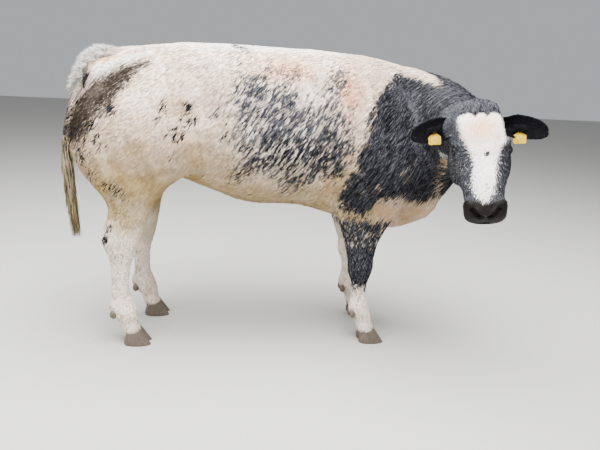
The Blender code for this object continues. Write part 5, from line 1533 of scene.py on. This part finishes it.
# Ear tags: a soft-edged plate under a neck, tilted out a little, with the round head of its pin

tags = {
    "place": {-1: (0.48, -0.06), 1: (0.38, -0.20)},      # u and v on the ear
    "width": 0.050,
    "height": 0.060,
    "neckHalf": 0.010,
    "thick": 0.0022,
    "tilt": math.radians(16.0),
    "soft": 0.0007,
    "yellow": "#a88600",
    "soiled": "#5a4206",
    "dirtPatch": 0.012,
    "pinRadii": (0.0085, 0.0062),
    "pinHeight": 0.0065,
}


def makeTag(side, word, material):
    u, v = (np.array([share]) for share in tags["place"][side])
    pin = earPoint(side, u, v, np.array([-0.006]))[0]
    aim = headVector(*ears["aim"][side])
    facing = headVector(0.45, side * -0.10, 0.89)
    facing = unitOf(facing - aim * (facing @ aim))
    down = np.cross(aim, facing)
    down = down if down[2] < 0 else -down
    cos, sin = math.cos(tags["tilt"]), math.sin(tags["tilt"])
    down, facing = down * cos + facing * sin, facing * cos - down * sin
    half, neckHalf, height = tags["width"] / 2, tags["neckHalf"], tags["height"]
    outline = (
        (-neckHalf, -0.008), (neckHalf, -0.008), (neckHalf, 0.010), (half - 0.004, 0.020), (half, 0.025),
        (half, height - 0.005), (half - 0.005, height), (-half + 0.005, height), (-half, height - 0.005),
        (-half, 0.025), (-half + 0.004, 0.020), (-neckHalf, 0.010),
    )
    mesh = bmesh.new()
    verts = [mesh.verts.new(pin + aim * a + down * b) for a, b in outline]
    face = mesh.faces.new(verts)
    grown = bmesh.ops.extrude_face_region(mesh, geom=[face])["geom"]
    front = [g for g in grown if isinstance(g, bmesh.types.BMVert)]
    bmesh.ops.translate(mesh, vec=facing * tags["thick"], verts=front)
    turn = Vector(facing).to_track_quat("Z", "Y").to_matrix().to_4x4()
    place = Matrix.Translation(Vector(pin + facing * 0.0030)) @ turn
    wide, narrow = tags["pinRadii"]
    bmesh.ops.create_cone(mesh, cap_ends=True, segments=28, radius1=wide, radius2=narrow,
                          depth=tags["pinHeight"], matrix=place)
    bmesh.ops.recalc_face_normals(mesh, faces=mesh.faces)
    data = bpy.data.meshes.new(f"tag_plate_{word}")
    mesh.to_mesh(data)
    mesh.free()
    plate = addObject(f"tag_plate_{word}", data)
    soft = plate.modifiers.new("soft", "BEVEL")
    soft.width = tags["soft"]
    soft.segments = 3
    soft.limit_method = "ANGLE"
    applyModifiers(plate)
    finishPiece(plate, material, "tag_plastic", f"ear_tag_{word}")
    plate.data.set_sharp_from_angle(angle=math.radians(40))


# Moulded polyurethane, as ear tags are: an even satin yellow, dulled by patches of dirt
def makeTagMaterial():
    material, tree, shader = newMaterial("moulded_polyurethane")
    place = addNode(tree, "TexCoord", {}, {}, "Object")
    dirt = addNode(tree, "TexNoise", {}, {"Vector": place, "Scale": 1 / tags["dirtPatch"], "Detail": 4.0})
    share = addNode(tree, "MapRange", {}, {0: dirt, 1: 0.50, 2: 0.72, 4: 0.55})
    mixed = {0: share, 6: toLinear(tags["yellow"]), 7: toLinear(tags["soiled"])}
    feed(shader, {
        "Base Color": addNode(tree, "Mix", colourMix, mixed, 2),
        "Roughness": addNode(tree, "MapRange", {}, {0: dirt, 1: 0.4, 2: 0.7, 3: 0.38, 4: 0.62}),
        "Specular IOR Level": 0.12,
    })
    return material


# The eyes: a wet ball with a clearer bulge in front, dark brown round a long level pupil

eyeLook = {
    "bulge": 0.055,          # share of the ball's radius
    "bulgeEdge": 0.62,       # angle from the gaze, in radians
    "iris": "#080504",
    "fibre": "#22150d",
    "pupil": "#020203",
    "white": "#2c2320",
}


# A ball round the gaze, swollen by 1 + bulge exp(-(angle / edge)^4)
def makeEye(side, word, material):
    centre = eyeCentre(side)
    axes = np.array(eyeAxes(side))
    latitude = np.linspace(0.004, np.pi - 0.004, 48)[:, None]
    longitude = np.linspace(0, 2 * np.pi, 48, endpoint=False)[None, :]
    swell = 1 + eyeLook["bulge"] * np.exp(-((latitude / eyeLook["bulgeEdge"]) ** 4))
    local = np.stack([
        np.cos(latitude) * swell + 0 * longitude,
        np.sin(latitude) * swell * np.cos(longitude),
        np.sin(latitude) * swell * np.sin(longitude),
    ], -1)
    eye = loftFrom(f"eyeball_{word}", centre + (local @ axes) * head["eyeRadius"])
    storeFields(eye, 1, {"gaze": ((readPoints(eye)[0] - centre) / head["eyeRadius"]) @ axes.T})
    finishPiece(eye, material, "eye_gloss", f"eye_{word}")


# A living cornea over a deep brown iris: nearly black, wet, with one hard highlight. The pupil is the oval
# 5.5 level^2 + 26 upright^2 = 1 in eye radii, and the white lies beyond level^2 + upright^2 = 0.85
def makeEyeMaterial():
    material, tree, shader = newMaterial("wet_cornea")
    gaze = addNode(tree, "Attribute", {"attribute_name": "gaze"}, {}, "Vector")
    _, level, upright = addNode(tree, "SeparateXYZ", {}, {"Vector": gaze}).node.outputs
    wide, tall = (addNode(tree, "Math", multiply, {0: way, 1: way}) for way in (level, upright))
    pupil = addNode(tree, "Math", multiply, {0: tall, 1: 26.0})
    pupil = addNode(tree, "Math", multiplyAdd, {0: wide, 1: 5.5, 2: pupil})
    isPupil = addNode(tree, "MapRange", {}, {0: pupil, 1: 0.9, 2: 1.3, 3: 1.0, 4: 0.0})
    reach = addNode(tree, "Math", add, {0: wide, 1: tall})
    isWhite = addNode(tree, "MapRange", {}, {0: reach, 1: 0.80, 2: 0.92, 4: 0.8})
    fibres = addNode(tree, "TexNoise", {}, {"Vector": gaze, "Scale": 9.0, "Detail": 3.0})    # 2 mm apart
    colour = toLinear(eyeLook["iris"])
    for factor, word in ((fibres, "fibre"), (isPupil, "pupil"), (isWhite, "white")):
        colour = addNode(tree, "Mix", colourMix, {0: factor, 6: colour, 7: toLinear(eyeLook[word])}, 2)
    feed(shader, {
        "Base Color": colour,
        "Roughness": 0.06,
        "Specular IOR Level": 0.25,
        "Coat Weight": 0.20,
        "Coat Roughness": 0.02,
    })
    return material


# Upper lashes: short dark strands out of the rim, bent down

lashes = {"count": 90, "length": (0.009, 0.015), "half": 0.0004, "reach": 0.72}


def makeLashes(material):
    count = lashes["count"]
    roots, ways, bends = [], [], []
    for side in (-1, 1):
        gaze, level, upright = eyeAxes(side)
        across = np.linspace(-lashes["reach"], lashes["reach"], count)[:, None]
        height = head["lidOpening"][0] * (1 - (across / head["lidWidth"]) ** 2) + 0.10
        ahead = np.sqrt(np.clip(1 - across**2 - height**2, 0.05, 1))
        unit = unitOf(level * across + upright * height + gaze * ahead)
        roots.append(eyeCentre(side) + unit * head["lidRadius"] * 0.995)
        ways.append(unitOf(unit + upright * 0.25 + level * across * 0.5 + rng.normal(0, 0.06, (count, 3))))
        bends.append(np.tile(-upright * 0.65, (count, 1)))
    shapes = [np.concatenate(values) for values in (roots, ways, bends)]
    length = rng.uniform(*lashes["length"], 2 * count)
    marks = np.tile((1.0, 0.0, 0.0), (2 * count, 1))
    piece = makeStrands("lashes", *shapes, length, np.full(2 * count, lashes["half"]), marks, 3, face=1.0)
    finishPiece(piece, material, "black_coat")


# The feet: two claws and two dewclaws each

feet = {
    "length": 0.122,
    "width": 0.051,
    "cleft": 0.004,
    "coronet": 0.068,
    "toeSlope": math.radians(54.0),
    "coronetTilt": math.radians(13.0),
    "middle": {"hind": -0.603, "fore": 0.499},
    "across": {"hind": 0.180, "fore": 0.176},
    "dewclaw": {"hind": -0.712, "fore": 0.398},
    "dewclawApart": 0.026,   # from the middle of the foot
    "dewclawHeight": 0.146,
    "dewclawRadii": (0.016, 0.012, 0.020),
    "ring": 0.0062,          # height of one growth ring
    # sizes of the horn's noises: rings, and fibres down the wall
    "grain": ((0.12, 0.12, 0.0062), (0.0035, 0.0035, 0.05)),
    "dark": "#2b2724",
    "pale": "#7a6a5a",
    "grown": "#16130f",
}


# Rings from a flat sole up to the tilted coronet, z = part (coronet + x tan(tilt)): the front wall slopes
# back as z / tan(slope), the outer wall flares, the toe narrows, and growth rings swell by 0.6% of the
# width
def makeClaw(kind, side, word, place, material):
    footX = feet["middle"][kind] + legs["farStep"][kind] * (side > 0)
    across = side * feet["across"][kind]
    way = side if place == "outer" else -side
    near = across + way * feet["cleft"] / 2
    middle = near + way * feet["width"] / 2
    rows, columns = 40, 48
    part = np.linspace(0, 1, rows)[:, None]
    angle = np.linspace(0, 2 * np.pi, columns, endpoint=False)[None, :]
    cos, sin = rounded(angle, 2.3)
    rise = part * feet["coronet"] + 0 * angle
    for _ in range(3):
        toe = feet["length"] / 2 - rise / math.tan(feet["toeSlope"])
        heel = -feet["length"] / 2 - 0.004 * np.sin(np.minimum(rise, 0.05) / 0.05 * math.pi) + rise * 0.12
        x = (toe + heel) / 2 + (toe - heel) / 2 * cos
        rise = part * (feet["coronet"] + x * math.tan(feet["coronetTilt"]))
    flare = 1.0 + 0.10 * (1 - np.minimum(rise, 0.08) / 0.08)
    taper = 1 - 0.30 * np.clip(cos, 0, 1) ** 2
    outward = way * feet["width"] / 2 * sin * taper
    growth = 1 + 0.006 * np.sin(rise / feet["ring"] * 2 * math.pi) * (rise > 0.006)
    y = middle + outward * np.where(sin > 0, flare, 1.0) * growth
    soleEdge = 1 - 0.05 * (1 - ease(rise, 0.0, 0.005))
    points = np.stack([footX + x * soleEdge, middle + (y - middle) * soleEdge, rise], -1)
    claw = loftFrom(f"horn_{kind}leg_{word}_{place}", points)
    finishPiece(claw, material, "hoof_horn", f"{kind}leg_{word}_{place}_claw")


def makeDewclaw(kind, side, word, place, material):
    x = feet["dewclaw"][kind] + legs["farStep"][kind] * (side > 0)
    way = side if place == "outer" else -side
    y = side * feet["across"][kind] + way * feet["dewclawApart"]
    centre = (x, y, feet["dewclawHeight"])
    dewclaw = ballFrom(f"dewhorn_{kind}leg_{word}_{place}", centre, feet["dewclawRadii"], segments=28)
    finishPiece(dewclaw, material, "hoof_horn", f"{kind}leg_{word}_{place}_dewclaw")


# Hoof horn, grown in rings and worn dull by wet ground: slate brown, satin, streaked down the wall
def makeHornMaterial():
    material, tree, shader = newMaterial("grown_hoof_horn")
    place = addNode(tree, "TexCoord", {}, {}, "Object")
    noises = []
    for size in feet["grain"]:
        sized = addNode(tree, "Mapping", textureSpace, {"Vector": place, "Scale": size})
        noises.append(addNode(tree, "TexNoise", {}, {"Vector": sized, "Scale": 1.0, "Detail": 2.0}))
    growth, fibre = noises
    mixed = {0: fibre, 6: toLinear(feet["dark"]), 7: toLinear(feet["pale"])}
    colour = addNode(tree, "Mix", colourMix, mixed, 2)
    share = addNode(tree, "Math", multiply, {0: growth, 1: 0.35})
    feed(shader, {
        "Base Color": addNode(tree, "Mix", colourMix, {0: share, 6: colour, 7: toLinear(feet["grown"])}, 2),
        "Roughness": 0.48,
        "Normal": addNode(tree, "Bump", {}, {"Strength": 0.35, "Distance": 0.001, "Height": growth}),
    })
    return material


# 1 on the muzzle's pad, between and under the nostrils and narrowing to the lip, where a painted sheen lightens
# it
def padSheenShare(points):
    along, left, out = headPlaces(points).T
    width = 0.040 - 0.75 * np.clip(-out - 0.020, 0, 0.036)
    padSheen = bareShare(points) * headShare(points) * (1 - ease(np.abs(left) - width, -0.008, 0.004))
    return padSheen * (1 - ease(-out, 0.056, 0.072)) * ease(along, 0.462, 0.474)


def dressSkin(skin):
    points, normals = readPoints(skin)
    tones = tonesAt(points)
    # painted sheen on the muzzle's pad, carried in the third tone
    tones[:, 2] = np.maximum(tones[:, 2], padSheenShare(points))
    fields = {"place": points, "marks": marksAt(points), "parts": partsAt(points, normals), "tones": tones}
    storeFields(skin, 1, {**fields, "shade": np.zeros(len(points))})


print("skin")
skin = makeSkin()
dressSkin(skin)
skinMaterial = makeCoatMaterial("short_hair_over_skin", True)
tuftMaterial = makeCoatMaterial("short_hair_tufts", False)
print("coat")
makeCoat(skin, tuftMaterial)
makeLongHair(skin, tuftMaterial)
fleshNodes = [
    "barrel", "forequarters", "hindquarters", "neck", "head", "muzzle", "udder", "tail_dock", "tail_middle",
]
for word in ("right", "left"):
    fleshNodes += [f"foreleg_{word}_{name}" for name in ("forearm", "cannon", "pastern")]
    fleshNodes += [f"hindleg_{word}_{name}" for name in ("gaskin", "cannon", "pastern")]
finishPiece(skin, skinMaterial, "pale_coat", *fleshNodes)

print("head, tail and feet")
makeSwitch(tuftMaterial)
makeForelock(tuftMaterial)
makeLashes(tuftMaterial)
tagMaterial, eyeMaterial, hornMaterial = makeTagMaterial(), makeEyeMaterial(), makeHornMaterial()
for side, word in ((-1, "right"), (1, "left")):
    makeEar(side, word, skinMaterial, tuftMaterial)
    makeTag(side, word, tagMaterial)
    makeEye(side, word, eyeMaterial)
    for kind in ("hind", "fore"):
        for place in ("inner", "outer"):
            makeClaw(kind, side, word, place, hornMaterial)
            makeDewclaw(kind, side, word, place, hornMaterial)

# Floor, light and camera

studio = {
    "camera": (-0.324, -3.096, 1.333),
    "forward": (0.147, 0.957, -0.249),
    "up": (-0.017, 0.254, 0.967),
    "lens": 39.8,
    "floor": ((-12, -8, 0), (12, -8, 0), (12, 14, 0), (-12, 14, 0)),
    "floorColour": "#adaca7",
    "skyColour": "#e6eaee",
    "skyStrength": 0.58,
    # name, place, aim, size, watts
    "lights": (
        ("sky", (-0.3, -0.6, 4.2), (0, -0.2, 0.8), 4.5, 1240),
        ("front", (-2.6, -4.2, 2.6), (0, 0, 0.9), 2.8, 190),
    ),
}


# A matt grey floor under an overcast sky, and a camera fitted to the photograph
def makeStudio():
    floor = meshFrom("floor", np.array(studio["floor"], float), np.array([[0, 1, 2, 3]]))
    material, _, shader = newMaterial("studio_floor")
    feed(shader, {"Base Color": toLinear(studio["floorColour"]), "Roughness": 0.9})
    floor.data.materials.append(material)
    world = bpy.data.worlds.new("studio")
    world.use_nodes = True
    sky = {"Color": toLinear(studio["skyColour"]), "Strength": studio["skyStrength"]}
    feed(world.node_tree.nodes["Background"], sky)
    bpy.context.scene.world = world
    for name, place, aim, size, power in studio["lights"]:
        light = bpy.data.lights.new(name, "AREA")
        light.energy = power
        light.size = size
        lamp = addObject(name, light)
        lamp.location = place
        lamp.rotation_euler = (Vector(aim) - Vector(place)).to_track_quat("-Z", "Y").to_euler()
    cameraData = bpy.data.cameras.new("camera")
    cameraData.lens = studio["lens"]
    cameraData.sensor_fit = "HORIZONTAL"
    cameraData.sensor_width = 36.0
    camera = addObject("camera", cameraData)
    forward, up = Vector(studio["forward"]).normalized(), Vector(studio["up"])
    right = forward.cross(up).normalized()
    up = right.cross(forward)
    turn = Matrix((right, up, -forward)).transposed().to_4x4()
    camera.matrix_world = Matrix.Translation(np.array(studio["camera"]) - boxMiddle) @ turn
    bpy.context.scene.camera = camera


print("floor, light and camera")
makeStudio()
